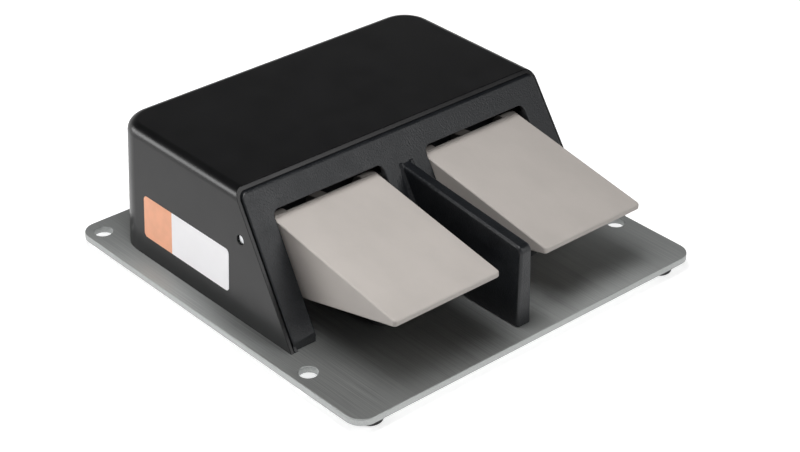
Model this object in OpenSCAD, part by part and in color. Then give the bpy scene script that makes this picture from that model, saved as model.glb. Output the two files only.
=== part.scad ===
// Twin foot switch: two hinged pedals come out of a sloping hood on a flat base plate.
// Millimetres. X runs along the hinge, the pedals point to -Y and Z is up.
// The origin is on the floor, under the middle of the base plate.
// Heights named from the deck are measured from the top face of the base plate.

/* [Base plate] */
// Thickness of the base plate
plate_t = 4; // [3:0.5:8]
// Radius of the four corners of the plate
plate_corner_r = 10; // [4:1:14]
// Plate left showing on each side of the hood
plate_side_margin = 12.5; // [12:0.5:30]
// Plate left showing in front of the hood
plate_front_margin = 67.2; // [58:0.2:90]
// Plate left showing behind the hood
plate_back_margin = 18.2; // [18.2:0.2:40]
// Radius of the four mounting holes
mount_hole_r = 5; // [2.5:0.25:5.5]
// Side edge of the plate to the centre of a mounting hole
mount_hole_side = 9.5; // [7:0.5:12]
// Front edge of the plate to the centre of a front mounting hole
mount_hole_front = 50; // [40:1:52]
// Back edge of the plate to the centre of a back mounting hole
mount_hole_back = 11; // [8:0.5:12]

/* [Rubber feet] */
// Radius of a foot where it meets the plate
foot_r = 8; // [6:0.5:9]
// Height of a foot
foot_h = 6; // [3:0.5:12]
// How much smaller a foot's radius is on the floor
foot_taper = 1; // [0:0.25:2]
// Side edge of the plate to the centre of a foot
foot_side = 16; // [13:0.5:18]
// Front edge of the plate to the centre of a front foot
foot_front = 11; // [10:0.5:20]
// Back edge of the plate to the centre of a back foot
foot_back = 36; // [34:0.5:45]

/* [Hood cover] */
// Depth of the hood where it meets the plate
cover_d = 154.6; // [150:0.2:175]
// Wall of the hood
cover_wall = 2.2; // [1.6:0.1:2.8]
// Angle by which the sides and the back lean inwards
cover_draft = 2.25; // [1:0.25:3.5]
// Radius of the edge between the top and the walls
cover_top_r = 6; // [4:0.5:8]
// Radius of the back corners seen from above
cover_corner_r = 21; // [17:1:28]
// Angle by which the open front leans back
front_lean = 32.5; // [28:0.5:34]
// Radius of the hole where an axle end shows in the side of the hood
axle_window_r = 2.8; // [2.7:0.1:4]

/* [Front bezel] */
// How far the bezel stands proud of the hood's front edge
bezel_proud = 1.3; // [0.5:0.1:2.5]
// Thickness of the bezel
bezel_t = 3; // [2.2:0.1:4]
// Gap between the bezel and the inside of the hood
bezel_gap = 0.3; // [0.2:0.05:0.6]
// How far the bezel's return rim reaches into the hood
bezel_rim_d = 7; // [4:0.5:8]
// Thickness of the return rim
bezel_rim_t = 2; // [1.2:0.1:2.4]
// Width of the bezel between a window and the hood, down at the plate
pillar_w = 17; // [14:0.5:22]
// Width of the bezel between the two windows
divider_w = 30; // [26:1:40]
// Height of the bezel above the windows
band_h = 14.3; // [12:0.1:20]
// Radius of a window's upper corners
window_r = 3.5; // [1:0.5:6]

/* [Divider fin] */
// Thickness of the fin at its top edge
fin_t = 7; // [5:0.5:9]
// Draft of the fin's two sides
fin_draft = 1.5; // [0:0.25:3]
// How far the fin reaches in front of the hood
fin_reach = 57.2; // [45:0.2:65]
// Height of the fin's top edge where it meets the bezel, from the deck
fin_root_z = 56.6; // [50:0.2:60]
// Slope of the fin's top edge down to its nose
fin_slope = 5.9; // [0:0.1:9]
// Radius of the fin's nose
fin_nose_r = 4; // [2:0.5:20]
// Radius of the hollow between the fin's top edge and the bezel
fin_root_r = 12; // [4:1:14]

/* [Pedals] */
// Width of a pedal
pedal_w = 70.5; // [62:0.5:80]
// Length of a pedal's top, along its slope
pedal_len = 97.3; // [90:0.1:104]
// Slope of a pedal's top at rest
pedal_slope = 9.75; // [6:0.25:11]
// Thickness of a pedal's top, and height of its front lip
pedal_t = 3.25; // [2.75:0.25:4.5]
// Thickness of a pedal's side flanges
flange_t = 3; // [2:0.25:4]
// Slope of the lower edge of the side flanges
flange_slope = 14.2; // [12:0.1:15.5]
// Radius of a pedal's front corners seen from above
pedal_tip_r = 2; // [1:0.5:6]
// Radius of a pedal's back corners seen from above
pedal_back_r = 5; // [2:0.5:8]
// Gap between a pedal and its window on the divider side
pedal_gap_in = 1; // [0.8:0.1:2]
// Gap between a pedal and its window on the outer side
pedal_gap_out = 1.5; // [1.3:0.1:2.5]
// Gap between a pedal's back edge and the head of its window, measured upright
window_head = 5.4; // [5:0.1:8]
// Angle by which a pedal goes down
press_angle = 8; // [5:0.5:9]

/* [Hinge] */
// Height of the hinge axis from the deck
hinge_z = 47.8; // [46.6:0.2:54]
// Hinge axis behind the bezel's front face
hinge_back = 12.9; // [12.5:0.1:15]
// Hinge axis below a pedal's back edge
hinge_drop = 7; // [7:0.1:8]
// Hinge axis behind a pedal's back edge
hinge_lag = 1; // [0:0.1:2]
// Radius of the axle
axle_r = 2.5; // [2:0.1:2.6]
// Radius of the hinge bosses on the pedals
boss_r = 6.8; // [5.5:0.1:6.8]
// Wall of a hinge bush
bush_wall = 1.5; // [1:0.1:2]
// Radial clearance of what turns or slides
run_gap = 0.05; // [0.02:0.01:0.08]
// Radial clearance of what is fitted tight
fit_gap = 0.02; // [0.01:0.01:0.05]

/* [Switches] */
// Length of a switch case
case_l = 49.2; // [44:0.2:54]
// Thickness of a switch case as it lies
case_t = 17.5; // [15:0.5:20]
// Depth of a switch case behind its front face
case_d = 24.2; // [22:0.2:28]
// Height of the bracket that carries a switch case
bracket_h = 7.25; // [6:0.25:9]
// Sheet thickness of the bracket
bracket_t = 2; // [1.5:0.25:2.5]
// Radius of a plunger
plunger_r = 3; // [2.4:0.1:3.5]
// Length of plunger that shows at rest
plunger_out = 8; // [7:0.5:10]
// Length of the threaded bushing in front of the case
bushing_l = 10; // [8:0.5:12]
// Outer radius of the threaded bushing
bushing_r = 6; // [5:0.25:7]
// Gap between a pedal's push pad and its plunger at rest
touch_gap = 0.35; // [0.3:0.05:0.5]

/* [Springs] */
// Radius of the spring wire
wire_r = 0.75; // [0.6:0.05:1]
// Radius of a coil, to the middle of the wire
coil_r = 5.8; // [5:0.1:6.2]
// Number of coils
coil_count = 9; // [6:1:11]
// Spring axis in front of the hinge axis
spring_lead = 29; // [27:0.5:30]
// Height of a spring seat on the deck
seat_h = 4; // [3:0.5:6]

/* [Stops] */
// Height of a rubber stop under a pedal
stop_h = 22; // [18:0.5:23]
// Radius of a rubber stop
stop_r = 6; // [4:0.5:7]
// Axis of a rubber stop in front of the hinge axis
stop_lead = 47; // [45:0.5:52]

/* [Cable entry] */
// Radius of the cable that the entry takes
cable_r = 4.2; // [3:0.1:4.4]
// Radius of the threaded part of the gland
gland_r = 8; // [7.6:0.1:9]
// Height of the cable entry from the deck
gland_z = 26; // [24:0.5:34]
// How far the gland stands out behind the hood
gland_out = 17; // [15:0.5:18]

/* [Side sticker] */
// Length of the sticker
sticker_l = 74.4; // [60:0.2:80]
// Height of the sticker
sticker_h = 24.8; // [15:0.2:30]
// Lower edge of the sticker from the deck
sticker_z = 12.6; // [8:0.2:18]
// Back edge of the sticker to the back of the hood
sticker_back = 28.8; // [26:0.2:34]
// Radius of the sticker's corners
sticker_r = 2.5; // [1:0.5:6]

/* [Hidden] */
$fn = 48;

// Overrun of every cut past the face it cuts
overrun = 1;
// Height of the deck over the floor
deck_z = foot_h + plate_t;

// Window, hood and plate follow the pedals that they hold
window_w = pedal_gap_in + pedal_w + pedal_gap_out;
window_in = divider_w / 2;
window_out = window_in + window_w;
cover_half_w = window_out + pillar_w + bezel_gap + cover_wall;
window_top = hinge_z + hinge_drop + window_head;
cover_h = window_top + band_h;
plate_w = 2 * (cover_half_w + plate_side_margin);
plate_d = plate_front_margin + cover_d + plate_back_margin;
cover_y0 = plate_front_margin - plate_d / 2;
cover_y1 = cover_y0 + cover_d;

// Hood corners seen from above
corner_x = cover_half_w - cover_corner_r;
corner_y = cover_y1 - cover_corner_r;

// Hinge and pedal line, seen from the side
bezel_face_y = cover_y0 - bezel_proud / cos(front_lean);
hinge_y = bezel_face_y + hinge_z * tan(front_lean) + hinge_back;
pedal_back_y = hinge_y - hinge_lag;
pedal_back_z = hinge_z + hinge_drop;
pedal_tip_y = pedal_back_y - pedal_len * cos(pedal_slope);
pedal_tip_z = pedal_back_z - pedal_len * sin(pedal_slope);
pedal_x = window_in + pedal_gap_in + pedal_w / 2;
// Lower back corner of a side flange, in front of the hinge axis
flange_heel = boss_r - hinge_lag;

// Bushes and lugs along the axle
bush_r = axle_r + run_gap + bush_wall;
bush_flange_r = bush_r + bush_wall;
axial_gap = 0.25;
bush_flange_t = pedal_gap_in - axial_gap;
boss_l = 10;
lug_t = 4;
lug_r = 7.5;
lug_in_x = window_in - lug_t;
lug_out_x = window_out + axial_gap;
axle_sunk = 0.9;
axle_end_x = cover_half_w - hinge_z * tan(cover_draft) - axle_sunk;
clip_t = 0.8;
clip_groove = 0.5;
clip_r = 5;
clip_mouth = 3.6;

// Rest bar behind the hinge, which a pedal's tail lies on
tail_l = 17;
tail_t = 5.5;
tail_drop = 3.3;
pad_t = 2;
bar_w = 5;
bar_h = 8;
bar_y = hinge_y + tail_l - bar_w;
bar_top = hinge_z - tail_drop - touch_gap - pad_t;
pad_l = 12;

// Push arm of a pedal, and the switch that it works
arm_w = 8;
arm_front = 15;
push_reach = 6;
push_above = 7;
push_below = 3;
axle_room = 1.5;
plunger_z = bracket_h + case_t / 2;
push_y = hinge_y + push_reach;
plunger_tip_y = push_y + touch_gap;
bushing_y = plunger_tip_y + plunger_out;
case_y = bushing_y + bushing_l;
plunger_travel = (hinge_z - plunger_z) * sin(press_angle) + overrun;
plunger_grip = 6;
plunger_l = plunger_out + bushing_l + plunger_grip;
nut_t = 3;
nut_r = 8.6;

// Switch bracket and its screws
bracket_foot_l = 11;
bracket_w = case_l + 2 * bracket_t;
case_hole_x = 12.7;
case_edge = 1;
terminal_w = 7;
terminal_h = 6;
terminal_l = 5;
terminal_x = 15;

// Machine screws: shank, head, and drive slot
screw_r = 1.9;
head_r = 3.6;
head_h = 2.2;
slot_w = 1;
slot_d = 1;
case_screw_depth = 3;
foot_screw_l = plate_t;

// Screws that come up through the plate into the hood and the bezel
post_screw_l = 12;
post_r = 5;
post_h = 20;
post_hole_gap = 0.3;
cover_post_in = 17;
cover_post_lag = 15;
cover_post_x = cover_half_w - cover_post_in;
cover_post_ys = [corner_y, hinge_y + cover_post_lag];
bezel_post_x = window_out + post_r + bezel_gap;
bezel_post_h = 12;
bezel_post_y = bezel_back_y(bezel_post_h) + post_r - bezel_t / 2;
fin_screw_back = 16;
fin_screw_y = cover_y0 - fin_reach + fin_screw_back;

// Springs, seats and stops
seat_gap = 0.6;
seat_r = coil_r + 2 * wire_r + seat_gap;
seat_floor = 1.5;
seat_wall = 1.2;
stem_r = 2.5;
spring_x = pedal_x;
spring_y = hinge_y - spring_lead;
boss_drop = 3;
perch_z = hinge_z - boss_drop;
spigot_h = 5;
spigot_gap = 0.5;
spigot_r = coil_r - wire_r - spigot_gap;
perch_rim = 1;
perch_r = coil_r + wire_r + perch_rim;
stop_y = hinge_y - stop_lead;
rib_t = 4;
stop_gap = 0.3;
spring_low = seat_floor + wire_r + stop_gap;
spring_high = perch_z - wire_r - stop_gap;
rings_per_coil = 8;
wire_sides = 6;

// Terminal block and leads
block_w = 16;
block_h = 8;
block_fence_h = 14;
block_fence_t = 2;
terminal_end_y = case_y + case_d + terminal_l;
block_y = (terminal_end_y + cover_y1 - cover_wall - block_w) / 2;
block_poles = 4;
block_pitch = 12;
block_end = 2;
block_l = block_poles * block_pitch + 2 * block_end;
block_ear = 8;
block_ear_t = 3;
lead_r = 1.2;
lead_bow = 0.6;
lead_reach = lead_bow * (block_y - terminal_end_y);
lead_steps = 24;
washer_r = 6;
washer_t = 1;
ground_x = 78;
ground_clear = 14;
ground_y = case_y + case_d + washer_r + ground_clear;

// Cable gland
gland_bore = cable_r;
gland_flange_t = 4;
gland_flange_r = 11.5;
gland_socket_l = 8;
gland_pad_r = 12.5;
gland_in = 8;
locknut_t = 4;
locknut_r = 11;
seal_l = 6;
seal_wall = 1.6;
cap_r = 10.4;
cap_wall = 1.4;
cap_fins = 12;
cap_fin_r = 0.9;

sticker_t = 0.2;

function cover_half(z, inset) = cover_half_w - inset / cos(cover_draft) - z * tan(cover_draft);
function cover_edge_y(z) = cover_y0 + z * tan(front_lean);
function face_y(z) = bezel_face_y + z * tan(front_lean);
function bezel_back_y(z) = face_y(z) + bezel_t / cos(front_lean);
function pedal_top_z(y) = pedal_back_z - (pedal_back_y - y) * tan(pedal_slope);
function flange_low_z(y) = pedal_tip_z - pedal_t - (y - pedal_tip_y) * tan(flange_slope);
// Height at which a pedal rib, lead in front of the hinge, lands on a stop of height top
function landing_z(lead, top) =
  hinge_z + (top + stop_gap - hinge_z + lead * sin(press_angle)) / cos(press_angle);
function arc(y, z, r, from, to, steps) =
  [for (i = [0:steps]) let (a = from + (to - from) * i / steps) [y + r * cos(a), z + r * sin(a)]];

mount_places = [for (x = [-1, 1] * (plate_w / 2 - mount_hole_side),
  y = [mount_hole_front - plate_d / 2, plate_d / 2 - mount_hole_back]) [x, y]];
foot_places = [for (x = [-1, 1] * (plate_w / 2 - foot_side),
  y = [foot_front - plate_d / 2, plate_d / 2 - foot_back]) [x, y]];
cover_screw_places = [for (x = [-1, 1] * cover_post_x, y = cover_post_ys) [x, y]];
bezel_screw_places = [[-bezel_post_x, bezel_post_y], [bezel_post_x, bezel_post_y], [0, fin_screw_y]];
stem_places = [for (x = [-1, 1] * spring_x, y = [spring_y, stop_y]) [x, y]];
bracket_screw_places = [for (s = [-1, 1] * pedal_x, t = [-1, 1] * (bracket_w + bracket_foot_l) / 2)
  [s + t, case_y + case_d / 2]];
block_ear_places = [for (t = [-1, 1] * (block_l + block_ear) / 2) [t, block_y + block_w / 2]];
deck_screw_places = concat(bracket_screw_places, block_ear_places, [[ground_x, ground_y]]);
block_screw_places = [for (i = [0:block_poles - 1], row = [0.25, 0.75])
  [(i - (block_poles - 1) / 2) * block_pitch, block_y + row * block_w]];
terminal_places = [for (s = [-1, 1] * pedal_x, t = [-1, 0, 1] * terminal_x) s + t];

module on_deck() translate([0, 0, deck_z]) children();

module both_sides() {
  children();
  mirror([1, 0, 0]) children();
}

// A YZ outline drawn along X
module along_x(from, to)
  translate([from, 0, 0]) rotate([90, 0, 90]) linear_extrude(to - from) children();

// An XZ outline drawn along Y
module along_y(from, to)
  translate([0, to, 0]) rotate([90, 0, 0]) linear_extrude(to - from) children();

// A round bar along X
module bar_x(from, to, r)
  translate([from, 0, 0]) rotate([0, 90, 0]) cylinder(r = r, h = to - from);

// A round bar along Y
module bar_y(from, to, r, tip_r = -1)
  translate([0, from, 0]) rotate([-90, 0, 0]) cylinder(r1 = r, r2 = tip_r < 0 ? r : tip_r, h = to - from);

module at_hinge() translate([0, hinge_y, hinge_z]) children();

module rounded_square(w, d, r) {
  square([w - 2 * r, d], center = true);
  square([w, d - 2 * r], center = true);
  for (x = [-1, 1] * (w / 2 - r), y = [-1, 1] * (d / 2 - r)) translate([x, y]) circle(r);
}

// A tube of round wire along a path whose tangent is never upright
module tube(path, r, sides) {
  last = len(path) - 1;
  rings = [for (i = [0:last]) let (
    run = path[min(i + 1, last)] - path[max(i - 1, 0)],
    t = run / norm(run),
    out = cross(t, [0, 0, 1]) / norm(cross(t, [0, 0, 1])),
    up = cross(out, t)
  ) for (k = [0:sides - 1]) path[i] + r * (cos(360 * k / sides) * out + sin(360 * k / sides) * up)];
  sleeve = [for (i = [0:last - 1], k = [0:sides - 1]) let (
    a = i * sides + k,
    d = i * sides + (k + 1) % sides
  ) each [[a, d, d + sides], [a, d + sides, a + sides]]];
  foot = last * sides;
  start = [for (k = [1:sides - 2]) [0, k + 1, k]];
  end = [for (k = [1:sides - 2]) [foot, foot + k, foot + k + 1]];
  polyhedron(points = rings, faces = concat(sleeve, start, end));
}

// A slotted pan head screw, head up, with its shank down to -length
module pan_screw(length) {
  difference() {
    cylinder(r = head_r, h = head_h);
    translate([-head_r, -slot_w / 2, head_h - slot_d]) cube([2 * head_r, slot_w, slot_d + overrun]);
  }
  translate([0, 0, -length]) cylinder(r = screw_r, h = length);
}

// A countersunk screw, head down on z = 0, with its shank up to length
module flat_screw(length) {
  difference() {
    union() {
      cylinder(r1 = head_r, r2 = screw_r, h = head_h);
      cylinder(r = screw_r, h = length);
    }
    for (a = [0, 90]) rotate(a)
      translate([-head_r / 2, -slot_w / 2, -overrun]) cube([head_r, slot_w, slot_d + overrun]);
  }
}

// Room for a countersunk screw through the plate, from its underside
module flat_screw_hole() {
  translate([0, 0, -overrun]) cylinder(r = screw_r + post_hole_gap, h = plate_t + 2 * overrun);
  translate([0, 0, -fit_gap])
    cylinder(r1 = head_r + 2 * fit_gap, r2 = screw_r + fit_gap, h = head_h + fit_gap);
}

// The hood as a solid, drawn in by inset and carried foot below the deck
module cover_form(inset, foot) {
  top_z = cover_h - inset;
  edge_r = max(cover_top_r - inset, cover_wall / 2);
  ring_z = top_z - edge_r;
  ring_r = cover_half(ring_z, inset) - edge_r / cos(cover_draft) - corner_x;
  hull()
    for (x = [-1, 1] * corner_x, y = [cover_y0 - overrun, corner_y]) translate([x, y, 0]) {
      translate([0, 0, -foot])
        cylinder(r1 = cover_half(-foot, inset) - corner_x, r2 = cover_half(ring_z, inset) - corner_x,
          h = foot + ring_z);
      translate([0, 0, ring_z]) rotate_extrude() translate([ring_r, 0]) circle(r = edge_r, $fn = 32);
    }
}

// All that lies in front of the hood's leaning edge
module front_room()
  along_x(-plate_w, plate_w) polygon([
    [cover_edge_y(-overrun), -overrun],
    [cover_edge_y(cover_h + overrun), cover_h + overrun],
    [-plate_d, cover_h + overrun],
    [-plate_d, -overrun]]);

module base_plate() color("#7c807f")
  difference() {
    translate([0, 0, foot_h]) linear_extrude(plate_t) rounded_square(plate_w, plate_d, plate_corner_r);
    translate([0, 0, foot_h]) {
      for (p = mount_places) translate([p.x, p.y, -overrun])
        cylinder(r = mount_hole_r, h = plate_t + 2 * overrun);
      for (p = concat(cover_screw_places, bezel_screw_places)) translate([p.x, p.y, 0]) flat_screw_hole();
      for (p = stem_places) translate([p.x, p.y, -overrun])
        cylinder(r = stem_r + fit_gap, h = plate_t + 2 * overrun);
      for (p = deck_screw_places) translate([p.x, p.y, -overrun])
        cylinder(r = screw_r + fit_gap, h = plate_t + 2 * overrun);
    }
  }

module rubber_feet() color("#1b1b1d")
  for (p = foot_places) translate([p.x, p.y, 0]) cylinder(r1 = foot_r - foot_taper, r2 = foot_r, h = foot_h);

// A screw post inside the hood and the web that ties it to the side wall
module cover_post(y) {
  web_t = post_r / 2;
  translate([cover_post_x, y, 0]) cylinder(r = post_r, h = post_h);
  along_y(y - web_t / 2, y + web_t / 2) polygon([
    [cover_post_x, 0],
    [cover_half(0, cover_wall / 2), 0],
    [cover_half(post_h, cover_wall / 2), post_h],
    [cover_post_x, post_h]]);
}

module cover_shell() color("#1a1a1d") on_deck()
  difference() {
    union() {
      difference() {
        cover_form(0, 0);
        cover_form(cover_wall, overrun);
        front_room();
      }
      both_sides() for (y = cover_post_ys) cover_post(y);
      translate([0, 0, gland_z]) bar_y(cover_y1 - gland_pad_in(), cover_y1, gland_pad_r);
    }
    for (p = cover_screw_places) translate([p.x, p.y, -overrun])
      cylinder(r = screw_r + fit_gap, h = overrun + post_screw_l);
    at_hinge() both_sides() bar_x(axle_end_x - cover_wall - overrun, cover_half_w, axle_window_r);
    translate([0, 0, gland_z])
      bar_y(cover_y1 - gland_pad_in() - overrun, cover_y1 + overrun, gland_r + fit_gap);
  }

// Depth of the round pad that squares the drafted back wall for the gland
function gland_pad_in() = cover_wall + (gland_z + gland_pad_r) * tan(cover_draft) + cover_wall / 2;

module cover_screws() color("#b9bbbd")
  for (p = cover_screw_places) translate([p.x, p.y, foot_h]) flat_screw(post_screw_l);

module side_sticker() color("#e9e7e3") on_deck()
  translate([-cover_half_w, cover_y1 - sticker_back - sticker_l / 2, 0]) rotate([0, cover_draft, 0])
    along_x(-sticker_t, 0) translate([0, sticker_z + sticker_h / 2])
      rounded_square(sticker_l, sticker_h, sticker_r);

// The bezel's leaning panel with its upright foot, seen from the side
module bezel_side() {
  foot_y = cover_y0 + bezel_proud + bezel_gap;
  heel_y = foot_y + bezel_t;
  foot_top = (foot_y - bezel_face_y) / tan(front_lean);
  heel_top = (heel_y - bezel_back_y(0)) / tan(front_lean);
  polygon([
    [foot_y, 0],
    [foot_y, foot_top],
    [face_y(cover_h), cover_h],
    [bezel_back_y(cover_h), cover_h],
    [heel_y, heel_top],
    [heel_y, 0]]);
}

// One window, whose outer side follows the hood's draft
module window_shape() {
  out_top = window_out;
  out_low = window_out + (window_top + overrun) * tan(cover_draft);
  difference() {
    polygon([[window_in, -overrun], [out_low, -overrun], [out_top, window_top], [window_in, window_top]]);
    for (s = [[window_in, 1], [out_top, -1]])
      translate([s[0] + s[1] * window_r, window_top - window_r]) difference() {
        translate([s[1] < 0 ? 0 : -2 * window_r, 0]) square([2 * window_r, 2 * window_r]);
        circle(window_r);
      }
  }
}

// The fin's side outline: upright nose, sloping top edge, hollow against the bezel
module fin_side() {
  nose_y = cover_y0 - fin_reach;
  root_y = face_y(fin_root_z);
  nose_z = fin_root_z - (root_y - nose_y) * tan(fin_slope);
  nose_drop = fin_nose_r * tan((90 - fin_slope) / 2);
  open_half = (90 - front_lean + 90 + fin_slope) / 2;
  hollow_run = fin_root_r / tan(open_half);
  hollow_y = root_y - hollow_run * cos(fin_slope) - fin_root_r * sin(fin_slope);
  hollow_z = fin_root_z - hollow_run * sin(fin_slope) + fin_root_r * cos(fin_slope);
  polygon(concat(
    [[nose_y, 0]],
    arc(nose_y + fin_nose_r, nose_z - nose_drop, fin_nose_r, 180, 90 + fin_slope, 10),
    arc(hollow_y, hollow_z, fin_root_r, -90 + fin_slope, -front_lean, 8),
    [[bezel_back_y(fin_root_z), fin_root_z]],
    [[bezel_back_y(0) + bezel_t, 0]]));
}

module divider_fin() {
  half_top = fin_t / 2;
  half_low = half_top + window_top * tan(fin_draft);
  intersection() {
    along_x(-half_low, half_low) fin_side();
    along_y(-plate_d, plate_d) polygon([
      [-half_low, 0], [half_low, 0], [half_top, window_top], [half_top, cover_h],
      [-half_top, cover_h], [-half_top, window_top]]);
  }
}

// A lug behind the bezel that carries the axle and, behind it, the rest bar
module axle_lug(x) {
  low = hinge_z - 2 * lug_r;
  high = hinge_z + lug_r;
  along_x(x, x + lug_t) {
    translate([hinge_y, hinge_z]) circle(lug_r);
    polygon([
      [bezel_back_y(high) - bezel_t / 2, high],
      [hinge_y, high],
      [hinge_y, hinge_z - lug_r],
      [bezel_back_y(low) - bezel_t / 2, low]]);
    translate([hinge_y, bar_top - bar_h]) square([tail_l, bar_h]);
  }
}

module bezel_post() {
  translate([bezel_post_x, bezel_post_y, 0]) cylinder(r = post_r, h = bezel_post_h);
}

module front_bezel() color("#3a3c3f") on_deck()
  difference() {
    union() {
      difference() {
        intersection() {
          cover_form(cover_wall + bezel_gap, 0);
          along_x(-cover_half_w, cover_half_w) bezel_side();
        }
        both_sides() along_y(cover_y0 - bezel_t, cover_y1) window_shape();
      }
      difference() {
        cover_form(cover_wall + bezel_gap, 0);
        cover_form(cover_wall + bezel_gap + bezel_rim_t, overrun);
        front_room();
        translate([0, bezel_rim_d / cos(front_lean), 0])
          along_x(-plate_w, plate_w) polygon([
            [cover_edge_y(-overrun), -overrun],
            [cover_edge_y(cover_h + overrun), cover_h + overrun],
            [plate_d, cover_h + overrun],
            [plate_d, -overrun]]);
      }
      divider_fin();
      both_sides() {
        axle_lug(lug_in_x);
        axle_lug(lug_out_x);
        bezel_post();
      }
      translate([0, 0, bar_top - bar_h]) along_x(-lug_out_x - lug_t, lug_out_x + lug_t)
        translate([bar_y, 0]) square([bar_w, bar_h]);
    }
    at_hinge() bar_x(-cover_half_w, cover_half_w, axle_r + run_gap);
    for (p = bezel_screw_places) translate([p.x, p.y, -overrun])
      cylinder(r = screw_r + fit_gap, h = overrun + post_screw_l);
  }

module bezel_screws() color("#b9bbbd")
  for (p = bezel_screw_places) translate([p.x, p.y, foot_h]) flat_screw(post_screw_l);

module hinge_axle() color("#c9cbcd") on_deck() at_hinge()
  difference() {
    bar_x(-axle_end_x, axle_end_x, axle_r);
    both_sides() difference() {
      bar_x(lug_out_x + lug_t + axial_gap, lug_out_x + lug_t + axial_gap + clip_t + 2 * fit_gap, clip_r);
      bar_x(lug_out_x, cover_half_w, axle_r - clip_groove);
    }
  }

module axle_clips() color("#8e9092") on_deck() at_hinge() both_sides()
  translate([lug_out_x + lug_t + axial_gap + fit_gap, 0, 0]) difference() {
    bar_x(0, clip_t, clip_r);
    bar_x(-overrun, clip_t + overrun, axle_r - clip_groove + fit_gap);
    translate([-overrun, -clip_mouth / 2, -clip_r - overrun])
      cube([clip_t + 2 * overrun, clip_mouth, clip_r + overrun]);
  }

module rest_pads() color("#202022") on_deck() both_sides()
  translate([pedal_x - pad_l / 2, bar_y, bar_top]) cube([pad_l, bar_w, pad_t]);

// The plan outline that trims a pedal
module pedal_plan() {
  run = pedal_back_y - pedal_tip_y;
  half = pedal_w / 2;
  translate([0, pedal_tip_y]) {
    translate([-half, pedal_tip_r]) square([pedal_w, run - pedal_tip_r - pedal_back_r]);
    translate([-half + pedal_tip_r, 0]) square([pedal_w - 2 * pedal_tip_r, 2 * pedal_tip_r]);
    translate([-half + pedal_back_r, run - 2 * pedal_back_r])
      square([pedal_w - 2 * pedal_back_r, 2 * pedal_back_r]);
    for (s = [-1, 1]) {
      translate([s * (half - pedal_tip_r), pedal_tip_r]) circle(pedal_tip_r);
      translate([s * (half - pedal_back_r), run - pedal_back_r]) circle(pedal_back_r);
    }
  }
}

// A side flange: from the lip down to the heel and up to the hinge
module flange_side() {
  front_y = pedal_tip_y - overrun;
  heel_y = hinge_y - flange_heel;
  polygon([
    [front_y, pedal_top_z(front_y)],
    [front_y, flange_low_z(front_y)],
    [heel_y, flange_low_z(heel_y)],
    [hinge_y + boss_r, hinge_z],
    [hinge_y, hinge_z],
    [pedal_back_y, pedal_back_z]]);
}

// The slab under the pedal's top face
module pedal_top_side() {
  front_y = pedal_tip_y - overrun;
  back_y = pedal_back_y + overrun;
  polygon([
    [front_y, pedal_top_z(front_y)],
    [back_y, pedal_top_z(back_y)],
    [back_y, pedal_top_z(back_y) - pedal_t],
    [front_y, pedal_top_z(front_y) - pedal_t]]);
}

// The arm that pushes the plunger, with the tail that rests on the bar
module arm_side()
  polygon([
    [hinge_y - arm_front, pedal_top_z(hinge_y - arm_front) - pedal_t / 2],
    [pedal_back_y, pedal_back_z - pedal_t / 2],
    [hinge_y + tail_l, hinge_z - tail_drop + tail_t],
    [hinge_y + tail_l, hinge_z - tail_drop],
    [bar_y - axle_room, hinge_z - tail_drop],
    [hinge_y + push_reach, hinge_z - tail_drop - axle_room],
    [push_y, plunger_z - push_below],
    [hinge_y - push_reach, plunger_z - push_below],
    [hinge_y - arm_front, plunger_z + push_above + push_reach]]);

module pedal_solid() {
  half = pedal_w / 2;
  rib_low = landing_z(stop_lead + rib_t / 2, stop_h);
  difference() {
    union() {
      intersection() {
        linear_extrude(cover_h) pedal_plan();
        along_x(-pedal_w, pedal_w) pedal_top_side();
      }
      intersection() {
        linear_extrude(cover_h) union() {
          pedal_plan();
          translate([-half, pedal_back_y - 2 * pedal_back_r])
            square([pedal_w, 2 * (pedal_back_r + boss_r + overrun)]);
        }
        both_sides() along_x(half - flange_t, pedal_w) flange_side();
      }
      for (x = [-half, half - boss_l]) translate([0, hinge_y, hinge_z]) bar_x(x, x + boss_l, boss_r);
      along_x(-arm_w / 2, arm_w / 2) arm_side();
      along_x(-half + flange_t / 2, half - flange_t / 2) polygon([
        [stop_y - rib_t / 2, rib_low],
        [stop_y + rib_t / 2, rib_low],
        [stop_y + rib_t / 2, pedal_top_z(stop_y + rib_t / 2) - pedal_t / 2],
        [stop_y - rib_t / 2, pedal_top_z(stop_y - rib_t / 2) - pedal_t / 2]]);
      intersection() {
        along_x(-half, half) polygon([
          [pedal_tip_y, 0], [pedal_back_y, 0],
          [pedal_back_y, pedal_back_z - pedal_t / 2], [pedal_tip_y, pedal_tip_z - pedal_t / 2]]);
        translate([0, spring_y, perch_z]) union() {
          cylinder(r = perch_r, h = cover_h);
          translate([0, 0, -spigot_h]) cylinder(r = spigot_r, h = spigot_h + overrun);
        }
      }
    }
    at_hinge() {
      bar_x(-half - overrun, half + overrun, axle_r + axle_room);
      both_sides() bar_x(half - boss_l - overrun, half + overrun, bush_r + fit_gap);
    }
  }
}

module left_pedal() color("#aca6a0") on_deck() translate([-pedal_x, 0, 0]) pedal_solid();
module right_pedal() color("#aca6a0") on_deck() translate([pedal_x, 0, 0]) pedal_solid();

// The two flanged bushes of one pedal
module pedal_bushes(x) {
  half = pedal_w / 2;
  on_deck() at_hinge() translate([x, 0, 0]) difference() {
    both_sides() {
      bar_x(half - boss_l, half, bush_r);
      bar_x(half, half + bush_flange_t, bush_flange_r);
    }
    bar_x(-pedal_w, pedal_w, axle_r + run_gap);
  }
}

module left_pedal_bushes() color("#e4e0d4") pedal_bushes(-pedal_x);
module right_pedal_bushes() color("#e4e0d4") pedal_bushes(pedal_x);

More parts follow.
